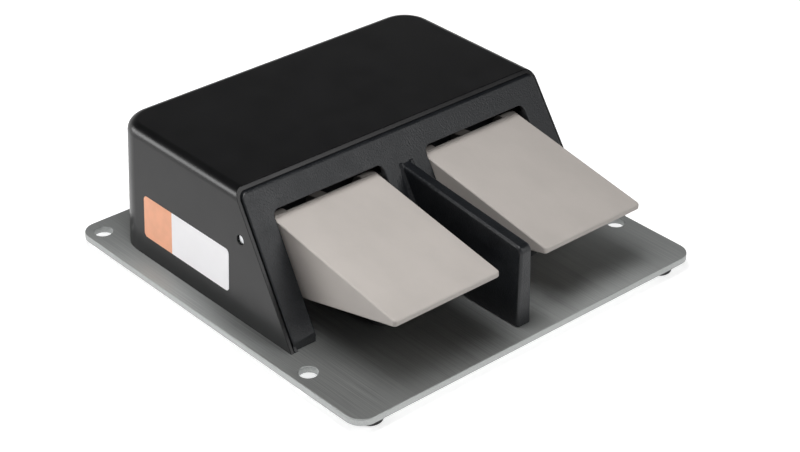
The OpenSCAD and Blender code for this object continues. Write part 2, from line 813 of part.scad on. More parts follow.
// A return spring with open ends, one unbroken tube
function coil_path(x) = [for (i = [0:coil_count * rings_per_coil])
  let (turn = i / rings_per_coil)
    [x + coil_r * cos(360 * turn), spring_y + coil_r * sin(360 * turn),
     spring_low + (spring_high - spring_low) * turn / coil_count]];

module left_return_spring() color("#a9abad") on_deck() tube(coil_path(-spring_x), wire_r, wire_sides);
module right_return_spring() color("#a9abad") on_deck() tube(coil_path(spring_x), wire_r, wire_sides);

// Least clear gap between neighbouring coils
echo(coil_gap = (spring_high - spring_low) / coil_count - 2 * wire_r);

module spring_seats() color("#2a2a2c") on_deck() both_sides() translate([spring_x, spring_y, 0]) {
  difference() {
    cylinder(r = seat_r + seat_wall, h = seat_h);
    translate([0, 0, seat_floor]) cylinder(r = seat_r, h = seat_h);
  }
  translate([0, 0, seat_floor - overrun]) cylinder(r = spigot_r, h = seat_h - seat_floor + overrun);
  translate([0, 0, -plate_t]) cylinder(r = stem_r, h = plate_t + seat_floor);
}

module down_stops() color("#202022") on_deck() both_sides() translate([spring_x, stop_y, 0]) {
  cylinder(r1 = stop_r + foot_taper, r2 = stop_r, h = stop_h);
  translate([0, 0, -plate_t]) cylinder(r = stem_r, h = plate_t + overrun);
}

module switch_case(x) on_deck() translate([x, 0, 0])
  difference() {
    translate([-case_l / 2, case_y, bracket_h]) cube([case_l, case_d, case_t]);
    for (s = [-1, 1]) {
      translate([s * case_hole_x, case_y + case_d / 2, bracket_h - overrun])
        cylinder(r = screw_r + fit_gap, h = case_t + 2 * overrun);
      translate([s * (case_l / 2 - case_edge) - case_edge, case_y - overrun, bracket_h + case_t - case_edge])
        cube([2 * case_edge, case_d + 2 * overrun, 2 * case_edge]);
    }
    translate([0, 0, plunger_z])
      bar_y(case_y - overrun, case_y + plunger_grip + plunger_travel + overrun, plunger_r + run_gap);
  }

module left_switch_case() color("#26262a") switch_case(-pedal_x);
module right_switch_case() color("#26262a") switch_case(pedal_x);

// A plunger with a round nose towards the pedal
module switch_plunger(x) on_deck() translate([x, plunger_tip_y, plunger_z]) {
  translate([0, plunger_r, 0]) {
    sphere(r = plunger_r);
    bar_y(0, plunger_l - plunger_r, plunger_r);
  }
}

module left_switch_plunger() color("#c6c8ca") switch_plunger(-pedal_x);
module right_switch_plunger() color("#c6c8ca") switch_plunger(pedal_x);

module switch_bushings() color("#9a9ca0") on_deck() both_sides() translate([pedal_x, 0, plunger_z])
  difference() {
    bar_y(bushing_y, case_y, bushing_r);
    bar_y(bushing_y - overrun, case_y + overrun, plunger_r + run_gap);
  }

module bushing_nuts() color("#b9bbbd") on_deck() both_sides() translate([pedal_x, 0, plunger_z])
  difference() {
    translate([0, case_y - nut_t, 0]) rotate([-90, 0, 0]) cylinder(r = nut_r, h = nut_t, $fn = 6);
    bar_y(case_y - nut_t - overrun, case_y + overrun, bushing_r + fit_gap);
  }

module switch_terminals() color("#b5934a") on_deck()
  for (x = terminal_places) translate([x, case_y + case_d, plunger_z]) {
    translate([-terminal_w / 2, 0, -terminal_h / 2]) cube([terminal_w, terminal_l, terminal_h]);
    translate([0, terminal_l / 2, terminal_h / 2]) cylinder(r = terminal_l / 2, h = slot_d);
  }

module switch_brackets() color("#8f9193") on_deck() both_sides() translate([pedal_x, 0, 0])
  difference() {
    along_y(case_y, case_y + case_d) {
      half = bracket_w / 2;
      translate([-half, bracket_h - bracket_t]) square([bracket_w, bracket_t]);
      for (s = [0, 1]) mirror([s, 0]) {
        translate([half - bracket_t, 0]) square([bracket_t, bracket_h]);
        translate([half - bracket_t, 0]) square([bracket_foot_l + bracket_t, bracket_t]);
      }
    }
    for (s = [-1, 1]) {
      translate([s * case_hole_x, case_y + case_d / 2, 0])
        cylinder(r = screw_r + fit_gap, h = bracket_h + overrun);
      translate([s * (bracket_w + bracket_foot_l) / 2, case_y + case_d / 2, -overrun])
        cylinder(r = screw_r + fit_gap, h = bracket_h);
    }
  }

module switch_screws() color("#b9bbbd") on_deck()
  for (x = [-1, 1] * pedal_x, s = [-1, 1] * case_hole_x)
    translate([x + s, case_y + case_d / 2, bracket_h + case_t]) pan_screw(case_t + case_screw_depth);

module bracket_screws() color("#b9bbbd") on_deck()
  for (p = bracket_screw_places) translate([p.x, p.y, bracket_t]) pan_screw(bracket_t + foot_screw_l);

module terminal_block() color("#1f2a24") on_deck()
  difference() {
    union() {
      translate([-block_l / 2, block_y, 0]) cube([block_l, block_w, block_h]);
      for (i = [0:block_poles])
        translate([(i - block_poles / 2) * block_pitch - block_fence_t / 2, block_y, block_h - overrun])
          cube([block_fence_t, block_w, block_fence_h - block_h + overrun]);
      translate([-block_l / 2 - block_ear, block_y + block_w / 4, 0])
        cube([block_l + 2 * block_ear, block_w / 2, block_ear_t]);
    }
    for (p = block_ear_places) translate([p.x, p.y, -overrun])
      cylinder(r = screw_r + fit_gap, h = block_ear_t + 2 * overrun);
  }

module terminal_screws() color("#b5934a") on_deck()
  for (p = block_screw_places) translate([p.x, p.y, block_h]) difference() {
    cylinder(r = block_w / 5, h = head_h);
    translate([-block_w / 5, -slot_w / 2, head_h - slot_d])
      cube([2 * block_w / 5, slot_w, slot_d + overrun]);
  }

module block_screws() color("#b9bbbd") on_deck()
  for (p = block_ear_places) translate([p.x, p.y, block_ear_t]) pan_screw(block_ear_t + foot_screw_l);

// A smooth bend from a to b that starts and ends along Y
function bend(a, b) = [for (i = [0:lead_steps]) let (t = i / lead_steps, u = 1 - t)
  u * u * u * a + 3 * u * u * t * (a + [0, lead_reach, 0]) + 3 * u * t * t * (b - [0, lead_reach, 0])
    + t * t * t * b];

// A lead leaves its terminal straight back and meets the block straight on
function lead_path(a, b) =
  concat([a], bend(a + [0, 2 * lead_r, 0], b - [0, 2 * lead_r, 0]), [b]);

module switch_leads() color("#7a2f2a") on_deck()
  for (s = [-1, 1], k = [0, 1])
    tube(lead_path(
      [s * (pedal_x + (1 - 2 * k) * terminal_x), terminal_end_y, plunger_z],
      [s * (block_poles / 2 - 0.5 - k) * block_pitch, block_y, block_h / 2]), lead_r, wire_sides + 2);

module ground_screw() color("#3f8f4a") on_deck()
  translate([ground_x, ground_y, washer_t]) pan_screw(washer_t + foot_screw_l);

module ground_washer() color("#c9cbcd") on_deck()
  translate([ground_x, ground_y, 0]) difference() {
    cylinder(r = washer_r, h = washer_t);
    translate([0, 0, -overrun]) cylinder(r = screw_r + fit_gap, h = washer_t + 2 * overrun);
  }

// The gland is drawn along Y from the back face of the hood
module at_gland() translate([0, cover_y1, deck_z + gland_z]) children();

module gland_body() color("#2a2a2c") at_gland()
  difference() {
    union() {
      bar_y(-gland_pad_in() - gland_in, gland_flange_t + gland_socket_l, gland_r);
      rotate([-90, 0, 0]) cylinder(r = gland_flange_r, h = gland_flange_t, $fn = 6);
    }
    bar_y(-gland_pad_in() - gland_in - overrun, cover_d, gland_bore);
    bar_y(gland_flange_t + gland_socket_l - seal_l, cover_d, gland_bore + seal_wall + fit_gap);
  }

module gland_locknut() color("#2a2a2c") at_gland()
  difference() {
    translate([0, -gland_pad_in() - locknut_t, 0]) rotate([-90, 0, 0])
      cylinder(r = locknut_r, h = locknut_t, $fn = 6);
    bar_y(-gland_pad_in() - locknut_t - overrun, 0, gland_r + fit_gap);
  }

module gland_seal() color("#4a4a4c") at_gland()
  difference() {
    bar_y(gland_flange_t + gland_socket_l - seal_l, gland_flange_t + gland_socket_l, gland_bore + seal_wall);
    bar_y(0, cover_d, gland_bore);
  }

module gland_cap() color("#2a2a2c") at_gland()
  difference() {
    union() {
      bar_y(gland_flange_t + axial_gap, gland_out, cap_r);
      for (a = [0:360 / cap_fins:359]) rotate([0, a, 0]) translate([cap_r, 0, 0])
        bar_y(gland_flange_t + axial_gap, gland_out - 2 * cap_wall, cap_fin_r);
    }
    bar_y(0, gland_flange_t + gland_socket_l + axial_gap, gland_r + run_gap);
    bar_y(0, cover_d, gland_bore);
  }

base_plate();
rubber_feet();
cover_shell();
cover_screws();
side_sticker();
front_bezel();
bezel_screws();
hinge_axle();
axle_clips();
rest_pads();
left_pedal();
left_pedal_bushes();
right_pedal();
right_pedal_bushes();
left_return_spring();
right_return_spring();
spring_seats();
down_stops();
left_switch_case();
right_switch_case();
left_switch_plunger();
right_switch_plunger();
switch_bushings();
bushing_nuts();
switch_terminals();
switch_brackets();
switch_screws();
bracket_screws();
terminal_block();
terminal_screws();
block_screws();
switch_leads();
ground_screw();
ground_washer();
gland_body();
gland_locknut();
gland_seal();
gland_cap();
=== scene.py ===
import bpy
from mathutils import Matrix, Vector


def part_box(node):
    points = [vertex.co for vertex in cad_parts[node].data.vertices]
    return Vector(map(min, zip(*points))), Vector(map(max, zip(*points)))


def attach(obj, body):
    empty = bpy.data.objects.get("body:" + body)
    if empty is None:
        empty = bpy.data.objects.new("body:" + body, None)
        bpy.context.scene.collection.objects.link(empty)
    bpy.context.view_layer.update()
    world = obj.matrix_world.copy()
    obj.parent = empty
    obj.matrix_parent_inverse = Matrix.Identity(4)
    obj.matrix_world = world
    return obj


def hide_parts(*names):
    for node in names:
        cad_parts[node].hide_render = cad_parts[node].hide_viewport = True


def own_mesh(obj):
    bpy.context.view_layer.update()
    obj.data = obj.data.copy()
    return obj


bl_info = {
    "name": "Twin foot switch",
    "version": (1, 0, 0),
    "blender": (4, 5, 0),
    "location": "View3D > Sidebar > Foot switch",
    "description": "Builds the looks of a twin foot switch around its packed solids",
    "category": "Object",
}

from math import cos, pi, radians, sin, tan

import bmesh
import bpy
from bpy.props import FloatProperty, FloatVectorProperty, IntProperty, PointerProperty
from mathutils import Matrix, Vector

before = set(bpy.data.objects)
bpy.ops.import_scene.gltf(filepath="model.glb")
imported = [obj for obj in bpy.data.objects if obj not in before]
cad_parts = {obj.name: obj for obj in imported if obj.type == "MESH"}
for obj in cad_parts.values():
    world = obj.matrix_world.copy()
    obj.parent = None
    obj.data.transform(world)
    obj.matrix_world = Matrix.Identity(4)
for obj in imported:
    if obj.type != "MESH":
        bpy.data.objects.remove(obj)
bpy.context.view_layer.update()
SIDEBAR = "Foot switch"

MM = 0.001
# How far a cutter runs past the face that it cuts
OVERRUN = 1 * MM
# Past every side of the switch
FAR = 1000 * MM
# How far a face is kept off another that it would share a plane with
SUNK = 0.02 * MM
# Points closer than this are one point
TOUCHING = 0.002 * MM
# Edges that turn less than this are shaded smooth
SMOOTH_ANGLE = radians(32)

PLATE_LOW, PLATE_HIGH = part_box("base_plate")
HOOD_LOW, HOOD_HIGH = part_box("cover_shell")
DECK = PLATE_HIGH[2]
# Radius of the heads and holes of the screws that come up through the plate, and of the posts they hold
SCREW_HEAD, SCREW_HOLE, POST = 3.64 * MM, 2.2 * MM, 5 * MM


# Colours and nodes

def linear(code):
    """The linear colour, with alpha, of an sRGB hex code."""
    channels = [int(code[i:i + 2], 16) / 255 for i in (1, 3, 5)]
    return tuple(c / 12.92 if c <= 0.04045 else ((c + 0.055) / 1.055) ** 2.4 for c in channels) + (1.0,)


def add_node(tree, kind, settings=None, inputs=None, stops=()):
    """Adds a node, with its settings, its sockets' values or links, and the stops of a ramp."""
    made = tree.nodes.new(kind)
    for name, value in (settings or {}).items():
        setattr(made, name, value)
    for name, value in (inputs or {}).items():
        if isinstance(value, bpy.types.NodeSocket):
            tree.links.new(value, made.inputs[name])
        else:
            made.inputs[name].default_value = value
    for index, (place, colour) in enumerate(stops):
        if index > 1:
            made.color_ramp.elements.new(place)
        made.color_ramp.elements[index].position = place
        made.color_ramp.elements[index].color = colour
    return made


def new_material(name, **shader):
    """A material with its output linked. Returns it, its node tree, and its shader with constants set."""
    made = bpy.data.materials.new(name)
    made.use_nodes = True
    tree = made.node_tree
    tree.nodes.clear()
    surface = add_node(tree, "ShaderNodeBsdfPrincipled", inputs={
        key.replace("_", " ").title().replace("Ior", "IOR"): value for key, value in shader.items()})
    add_node(tree, "ShaderNodeOutputMaterial", inputs={"Surface": surface.outputs["BSDF"]})
    return made, tree, surface


def mottle(tree, patch, detail=3.0, stretch=(1, 1, 1)):
    """Noise in the object's own space, in patches this many millimetres across."""
    place = add_node(tree, "ShaderNodeTexCoord")
    fitted = add_node(tree, "ShaderNodeMapping", inputs={"Vector": place.outputs["Object"], "Scale": stretch})
    return add_node(tree, "ShaderNodeTexNoise", inputs={
        "Vector": fitted.outputs["Vector"], "Scale": 1 / (patch * MM), "Detail": detail}).outputs["Fac"]


def vary(tree, pattern, low, high, start=0.35, end=0.65):
    """A colour or a grey value that runs from low to high as the pattern does."""
    return add_node(tree, "ShaderNodeValToRGB", inputs={"Fac": pattern}, stops=(
        (start, low if isinstance(low, tuple) else (low, low, low, 1.0)),
        (end, high if isinstance(high, tuple) else (high, high, high, 1.0)))).outputs["Color"]


def shade(colour, factor):
    """A colour made darker or lighter."""
    return tuple(min(1.0, channel * factor) for channel in colour[:3]) + (1.0,)


def blend(tree, colour, patch, low, high):
    """The colour, running from darker to lighter in soft patches this many millimetres across."""
    return vary(tree, mottle(tree, patch), shade(colour, low), shade(colour, high))


def relief(tree, surface, pattern, depth, strength=1.0):
    """Gives the shader a relief that is depth metres deep."""
    bump = add_node(tree, "ShaderNodeBump", inputs={
        "Height": pattern, "Distance": depth, "Strength": strength})
    tree.links.new(bump.outputs["Normal"], surface.inputs["Normal"])


def drive(tree, surface, socket, value):
    """Links a value or colour into one of the shader's sockets."""
    tree.links.new(value, surface.inputs[socket])


# Modelling helpers

def only(piece):
    """Selects this piece alone and makes it active."""
    if bpy.context.object and bpy.context.object.mode != "OBJECT":
        bpy.ops.object.mode_set(mode="OBJECT")
    bpy.ops.object.select_all(action="DESELECT")
    piece.select_set(True)
    bpy.context.view_layer.objects.active = piece


def added(name):
    """Names the primitive that was just added and puts its place into its mesh."""
    piece = bpy.context.object
    piece.name = piece.data.name = name
    bpy.ops.object.transform_apply(location=True, rotation=True, scale=True)
    return piece


def rod(name, axis, centre, start, end, radius, end_radius=None, sides=48):
    """A round bar or cone along an axis, from start to end. Centre is the place of its axis."""
    bpy.ops.object.select_all(action="DESELECT")
    middle = (start + end) / 2
    turn = {"X": (0, pi / 2, 0), "Y": (-pi / 2, 0, 0), "Z": (0, 0, 0)}[axis]
    place = {"X": (middle, *centre), "Y": (centre[0], middle, centre[1]), "Z": (*centre, middle)}[axis]
    bpy.ops.mesh.primitive_cone_add(
        vertices=sides, radius1=radius, radius2=radius if end_radius is None else end_radius,
        depth=end - start, location=place, rotation=turn)
    return added(name)


def prism(name, axis, outline, start, end):
    """A flat outline drawn out along an axis, from start to end."""
    bpy.ops.object.select_all(action="DESELECT")
    bpy.ops.mesh.primitive_circle_add(vertices=len(outline), fill_type="NGON")
    piece = added(name)
    for vertex, (a, b) in zip(piece.data.vertices, outline):
        vertex.co = {"X": (start, a, b), "Y": (a, start, b), "Z": (a, b, start)}[axis]
    bpy.ops.object.mode_set(mode="EDIT")
    bpy.ops.mesh.select_all(action="SELECT")
    bpy.ops.mesh.extrude_region_move(TRANSFORM_OT_translate={
        "value": tuple(end - start if axis == letter else 0 for letter in "XYZ")})
    bpy.ops.mesh.select_all(action="SELECT")
    bpy.ops.mesh.normals_make_consistent(inside=False)
    bpy.ops.object.mode_set(mode="OBJECT")
    return piece


def block(name, low, high):
    """A box from its lowest to its highest corner."""
    outline = [(low[0], low[1]), (high[0], low[1]), (high[0], high[1]), (low[0], high[1])]
    return prism(name, "Z", outline, low[2], high[2])


def carve(piece, tool, operation="DIFFERENCE"):
    """Cuts a tool out of a piece, joins the two or keeps what they share, and clears the tool away."""
    only(piece)
    bpy.ops.object.modifier_add(type="BOOLEAN")
    cut = piece.modifiers[-1]
    cut.operation = operation
    cut.solver = "EXACT"
    cut.use_self = True
    cut.object = tool
    bpy.ops.object.modifier_apply(modifier=cut.name)
    bpy.data.objects.remove(tool)
    return piece


def cleaned(piece):
    """Merges doubles and takes out the edges that booleans leave in flat faces."""
    only(piece)
    bpy.ops.object.mode_set(mode="EDIT")
    bpy.ops.mesh.select_all(action="SELECT")
    bpy.ops.mesh.remove_doubles(threshold=TOUCHING)
    bpy.ops.mesh.dissolve_limited(angle_limit=radians(0.2))
    bpy.ops.object.mode_set(mode="OBJECT")
    return piece


def round_edges(piece, width, segments, place=None, turn=25):
    """Bevels the edges that turn more than turn degrees and whose middle and direction pass the test."""
    only(piece)
    bpy.ops.object.mode_set(mode="EDIT")
    bpy.ops.mesh.select_mode(type="EDGE")
    bpy.ops.mesh.select_all(action="DESELECT")
    mesh = bmesh.from_edit_mesh(piece.data)
    for edge in mesh.edges:
        a, b = (vertex.co for vertex in edge.verts)
        sharp = edge.is_manifold and edge.calc_face_angle(0.0) > radians(turn)
        edge.select_set(sharp and (place is None or place((a + b) / 2, (b - a).normalized())))
    bmesh.update_edit_mesh(piece.data)
    bpy.ops.mesh.bevel(offset=width, segments=segments, profile=0.5, clamp_overlap=False)
    bpy.ops.object.mode_set(mode="OBJECT")
    return piece


def finished(piece, body, slot, *nodes, smooth=SMOOTH_ANGLE):
    """Shades a piece, gives it its material and body, and hides the CAD nodes that it stands for."""
    only(piece)
    bpy.ops.object.shade_smooth_by_angle(angle=smooth)
    bpy.ops.object.modifier_add(type="WEIGHTED_NORMAL")
    piece.modifiers[-1].keep_sharp = True
    bpy.ops.object.modifier_apply(modifier=piece.modifiers[-1].name)
    piece.data.materials.clear()
    piece.data.materials.append(material(slot))
    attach(piece, body)
    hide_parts(*nodes)
    return piece


def arc(centre, radius, start, end, steps):
    """Points of an arc, with its angles in degrees."""
    return [(centre[0] + radius * cos(radians(start + (end - start) * i / steps)),
             centre[1] + radius * sin(radians(start + (end - start) * i / steps)))
            for i in range(steps + 1)]


# Materials, each made once and kept by the name of its slot

FINISHES = {}
MADE = {}


def finish_of(slot, **shader):
    """Marks a function as the finish of a slot, with its shader's constants. The material has its name."""
    def keep(finish):
        FINISHES[slot] = finish, shader
        return finish
    return keep


def material(slot):
    """The material of a slot, made when it is first asked for."""
    if slot not in MADE:
        finish, shader = FINISHES[slot]
        MADE[slot], tree, surface = new_material(finish.__name__, **shader)
        finish(bpy.context.scene.footswitch.colours, tree, surface)
    return MADE[slot]


@finish_of("brushed_steel_plate", metallic=1.0, anisotropic=0.6)
def brushed_stainless_steel(colours, tree, surface):
    # Brushed stainless steel sheet: long fine scratches along Y that spread reflections across them
    # Scratches about 0.5 mm apart and 60 mm long, drawn coarser than real ones so that they show
    scratches = mottle(tree, 0.5, 3.0, (1.0, 0.008, 1.0))
    clouds = mottle(tree, 70, 2.0)
    tint = vary(tree, scratches, shade(colours.plate, 0.72), shade(colours.plate, 1.12), 0.3, 0.7)
    clouded = add_node(tree, "ShaderNodeMix", {"data_type": "RGBA"}, {
        0: vary(tree, clouds, 0.0, 0.5), 6: tint, 7: tuple(colours.plate)})
    drive(tree, surface, "Base Color", clouded.outputs[2])
    drive(tree, surface, "Roughness", vary(tree, scratches, 0.58, 0.74, 0.25, 0.75))
    relief(tree, surface, scratches, 0.02 * MM, 0.5)


@finish_of("black_rubber", roughness=0.75)
def moulded_rubber(colours, tree, surface):
    # Moulded rubber: near black, dull, with a faint bloom
    drive(tree, surface, "Base Color", blend(tree, colours.rubber, 3, 0.8, 1.3))
    relief(tree, surface, mottle(tree, 0.5), 0.03 * MM)


@finish_of("satin_black_hood", specular_ior_level=0.3)
def satin_abs(colours, tree, surface):
    # Injection moulded ABS with a satin skin: soft even reflections
    drive(tree, surface, "Base Color", blend(tree, colours.hood, 40, 0.9, 1.1))
    drive(tree, surface, "Roughness", vary(tree, mottle(tree, 15), 0.28, 0.33))
    # A fine orange peel, 3 mm across
    relief(tree, surface, mottle(tree, 3, 1.0), 0.004 * MM, 0.5)


@finish_of("zinc_screws", metallic=1.0)
def zinc_plated_steel(colours, tree, surface):
    # Zinc plated steel: pale, a little blue, with a soft shine
    drive(tree, surface, "Base Color", blend(tree, linear("#b6babf"), 2, 0.9, 1.1))
    drive(tree, surface, "Roughness", vary(tree, mottle(tree, 1), 0.28, 0.42))


@finish_of("sticker_film", roughness=0.38)
def vinyl_film(colours, tree, surface):
    # Printed vinyl film: white with a flat colour field at its back end, under a thin gloss
    place = add_node(tree, "ShaderNodeTexCoord")
    along = add_node(tree, "ShaderNodeSeparateXYZ", inputs={"Vector": place.outputs["Object"]}).outputs["Y"]
    sizes = bpy.context.scene.footswitch.sticker
    inked = add_node(tree, "ShaderNodeMath", {"operation": "GREATER_THAN"}, {
        0: along, 1: HOOD_HIGH[1] - sizes.back - sizes.field}).outputs[0]
    printed = add_node(tree, "ShaderNodeMix", {"data_type": "RGBA"}, {
        0: inked,
        6: blend(tree, colours.sticker, 25, 0.97, 1.0),
        7: blend(tree, colours.field, 6, 0.96, 1.04)})
    drive(tree, surface, "Base Color", printed.outputs[2])


@finish_of("grained_black_bezel", specular_ior_level=0.4)
def grained_abs(colours, tree, surface):
    # Moulded ABS with a spark eroded grain: many small pits that break the light up
    # Grain about 0.9 mm across
    grain = mottle(tree, 0.9, 2.0)
    drive(tree, surface, "Base Color", vary(
        tree, grain, shade(colours.bezel, 0.7), shade(colours.bezel, 1.5)))
    drive(tree, surface, "Roughness", vary(tree, mottle(tree, 12), 0.34, 0.44))
    relief(tree, surface, grain, 0.3 * MM, 0.6)


@finish_of("ground_steel", metallic=1.0)
def ground_steel_rod(colours, tree, surface):
    # Ground steel rod: bright, with rings of fine scratches round it
    rings = mottle(tree, 0.3, 2.0, (1.0, 0.1, 0.1))
    drive(tree, surface, "Base Color", vary(tree, rings, linear("#b4b6b8"), linear("#cfd1d3")))
    drive(tree, surface, "Roughness", vary(tree, rings, 0.2, 0.34))


@finish_of("spring_steel", metallic=1.0)
def drawn_spring_wire(colours, tree, surface):
    # Drawn spring wire: grey, lightly oiled
    drive(tree, surface, "Base Color", blend(tree, linear("#94979b"), 1.5, 0.85, 1.15))
    drive(tree, surface, "Roughness", vary(tree, mottle(tree, 0.8), 0.25, 0.38))


@finish_of("warm_grey_pedal", specular_ior_level=0.4)
def glass_filled_nylon(colours, tree, surface):
    # Moulded glass filled nylon in a warm grey: matte, even, with a faint flow pattern
    flow = mottle(tree, 18, 3.0, (1.0, 0.5, 1.0))
    drive(tree, surface, "Base Color", vary(
        tree, flow, shade(colours.pedal, 0.97), shade(colours.pedal, 1.03)))
    drive(tree, surface, "Roughness", vary(tree, mottle(tree, 4), 0.42, 0.5))
    relief(tree, surface, mottle(tree, 0.6), 0.012 * MM, 0.5)


@finish_of("white_nylon", roughness=0.4)
def turned_nylon(colours, tree, surface):
    # Turned nylon: milky and a little waxy
    drive(tree, surface, "Base Color", blend(tree, linear("#e6e2d6"), 3, 0.95, 1.05))


@finish_of("black_nylon")
def moulded_nylon(colours, tree, surface):
    # Moulded nylon: black with a dull, slightly uneven skin
    drive(tree, surface, "Base Color", blend(tree, colours.gland, 4, 0.8, 1.2))
    drive(tree, surface, "Roughness", vary(tree, mottle(tree, 2), 0.42, 0.55))
    relief(tree, surface, mottle(tree, 0.5), 0.01 * MM, 0.6)


@finish_of("phenolic_case", roughness=0.35)
def phenolic_resin(colours, tree, surface):
    # Pressed phenolic resin: dark, hard, faintly speckled with filler
    drive(tree, surface, "Base Color", vary(
        tree, mottle(tree, 0.8), linear("#1b1a1c"), linear("#2f2b2a"), 0.5, 0.75))


@finish_of("nickel_brass", metallic=1.0)
def nickel_plated_brass(colours, tree, surface):
    # Nickel plated brass: warm bright metal
    drive(tree, surface, "Base Color", blend(tree, linear("#c5c2ba"), 2, 0.95, 1.05))
    drive(tree, surface, "Roughness", vary(tree, mottle(tree, 1), 0.18, 0.3))


@finish_of("terminal_brass", metallic=1.0)
def stamped_brass(colours, tree, surface):
    # Stamped brass: yellow metal with dull handling marks
    drive(tree, surface, "Base Color", vary(
        tree, mottle(tree, 2), linear("#a8853f"), linear("#c7a558")))
    drive(tree, surface, "Roughness", vary(tree, mottle(tree, 1.5), 0.25, 0.45))


@finish_of("zinc_sheet", metallic=1.0)
def galvanised_steel(colours, tree, surface):
    # Galvanised sheet: grey patches of zinc crystals a few millimetres across
    place = add_node(tree, "ShaderNodeTexCoord")
    crystals = add_node(tree, "ShaderNodeTexVoronoi", inputs={
        "Vector": place.outputs["Object"], "Scale": 1 / (5 * MM)}).outputs["Color"]
    drive(tree, surface, "Base Color", vary(tree, crystals, linear("#8d9093"), linear("#a6a9ab"), 0.2, 0.8))
    drive(tree, surface, "Roughness", vary(tree, crystals, 0.35, 0.5, 0.2, 0.8))


@finish_of("lead_insulation", roughness=0.4)
def pvc_sleeve(colours, tree, surface):
    # Extruded PVC sleeve: smooth, a little glossy
    drive(tree, surface, "Base Color", blend(tree, colours.insulation, 6, 0.9, 1.1))


@finish_of("ground_green", metallic=0.6)
def green_lacquered_steel(colours, tree, surface):
    # Green lacquered steel, as earth screws are
    drive(tree, surface, "Base Color", vary(
        tree, mottle(tree, 2), linear("#2f7f3f"), linear("#4a9a55")))
    drive(tree, surface, "Roughness", vary(tree, mottle(tree, 1), 0.35, 0.5))


# Sizes and colours that a user would change

def length(name, description, millimetres):
    return FloatProperty(name=name, description=description, default=millimetres * MM, min=0.0,
                         unit="LENGTH", precision=5)


def angle(name, description, degrees):
    return FloatProperty(name=name, description=description, default=radians(degrees), unit="ROTATION")


def colour(name, description, code):
    return FloatVectorProperty(name=name, description=description, size=4, subtype="COLOR", min=0.0, max=1.0,
                               default=linear(code))


class FinishColours(bpy.types.PropertyGroup):
    plate: colour("Plate", "Steel of the base plate", "#afb1b0")
    rubber: colour("Feet", "Rubber of the feet", "#1a1a1b")
    hood: colour("Hood", "Plastic of the hood", "#0c0c0d")
    bezel: colour("Bezel", "Plastic of the bezel and the fin", "#101215")
    pedal: colour("Pedals", "Plastic of the pedals", "#ada7a2")
    sticker: colour("Sticker", "Ground of the sticker", "#f6f5f7")
    field: colour("Sticker field", "Colour field at the sticker's back end", "#f1ab86")
    gland: colour("Cable gland", "Plastic of the cable gland", "#1f1f21")
    insulation: colour("Leads", "Insulation of the leads", "#7f2b27")


class PlateSizes(bpy.types.PropertyGroup):
    corner: length("Corner radius", "Radius of the plate's four corners", 10)
    edge: length("Edge break", "Rounding of the plate's edges and hole rims", 0.5)
    hole: length("Hole radius", "Radius of the four mounting holes", 5)
    hole_side: length("Hole to side", "Side edge to the centre of a mounting hole", 9.5)
    hole_front: length("Hole to front", "Front edge to the centre of a front hole", 50)
    hole_back: length("Hole to back", "Back edge to the centre of a back hole", 11)
    foot: length("Foot radius", "Radius of a rubber foot at the plate", 8)
    foot_taper: length("Foot taper", "How much smaller a foot's radius is on the floor", 1)
    foot_edge: length("Foot edge", "Rounding of a foot's lower edge", 1)
    foot_recess: length("Foot recess", "Depth of the round recess in a foot's sole", 1)


class HoodSizes(bpy.types.PropertyGroup):
    wall: length("Wall", "Wall of the hood", 2.2)
    corner: length("Back corners", "Radius of the back corners at the foot", 21)
    top_edge: length("Top edge", "Radius of the edge round the top", 6)
    draft: angle("Draft", "How far the walls lean inwards", 2.25)
    lean: angle("Front lean", "How far the open front leans back", 32.5)
    axle_window: length("Axle window", "Radius of the hole where an axle end shows", 2.8)
    front_edge: length("Front edge", "Rounding of the open front's edge", 0.4)
    gland_hole: length("Gland hole", "Radius of the hole for the cable gland", 8.02)
    post_height: length("Post height", "Height of the screw posts", 20)
    web: length("Web", "Thickness of the webs between the posts and the wall", 2.5)


class BezelSizes(bpy.types.PropertyGroup):
    panel: length("Panel", "Thickness of the bezel", 3)
    gap: length("Gap", "Gap between the bezel and the inside of the hood", 0.3)
    proud: length("Proud", "How far the bezel stands in front of the hood's edge", 1.3)
    rim_depth: length("Rim depth", "How far the return rim reaches into the hood", 7)
    rim: length("Rim", "Thickness of the return rim", 2)
    window_in: length("Window side", "Middle to the inner side of a window", 15)
    window_out: length("Window outer side", "Middle to the outer side of a window at its head", 88)
    window_top: length("Window head", "Height of a window over the plate", 60.2)
    window_corner: length("Window corners", "Radius of a window's upper corners", 3.5)
    edge: length("Edge", "Rounding of the bezel's outer edge", 0.9)
    play: length("Axle play", "Gap round the axle in the hinge lugs", 0.05)


class FinSizes(bpy.types.PropertyGroup):
    thickness: length("Thickness", "Thickness of the fin at its top", 7)
    draft: angle("Draft", "How far each side leans inwards", 1.5)
    reach: length("Reach", "How far the fin comes out in front of the hood", 57.2)
    root: length("Root height", "Height of the top edge at the bezel", 56.6)
    slope: angle("Slope", "Fall of the top edge towards the nose", 5.9)
    nose: length("Nose radius", "Radius of the fin's nose", 4)
    hollow: length("Hollow radius", "Radius between the top edge and the bezel", 12)
    edge: length("Edge", "Rounding of the fin's edges", 1.7)
    root_fillet: length("Root fillet", "Radius between the fin's sides and the bezel", 5)


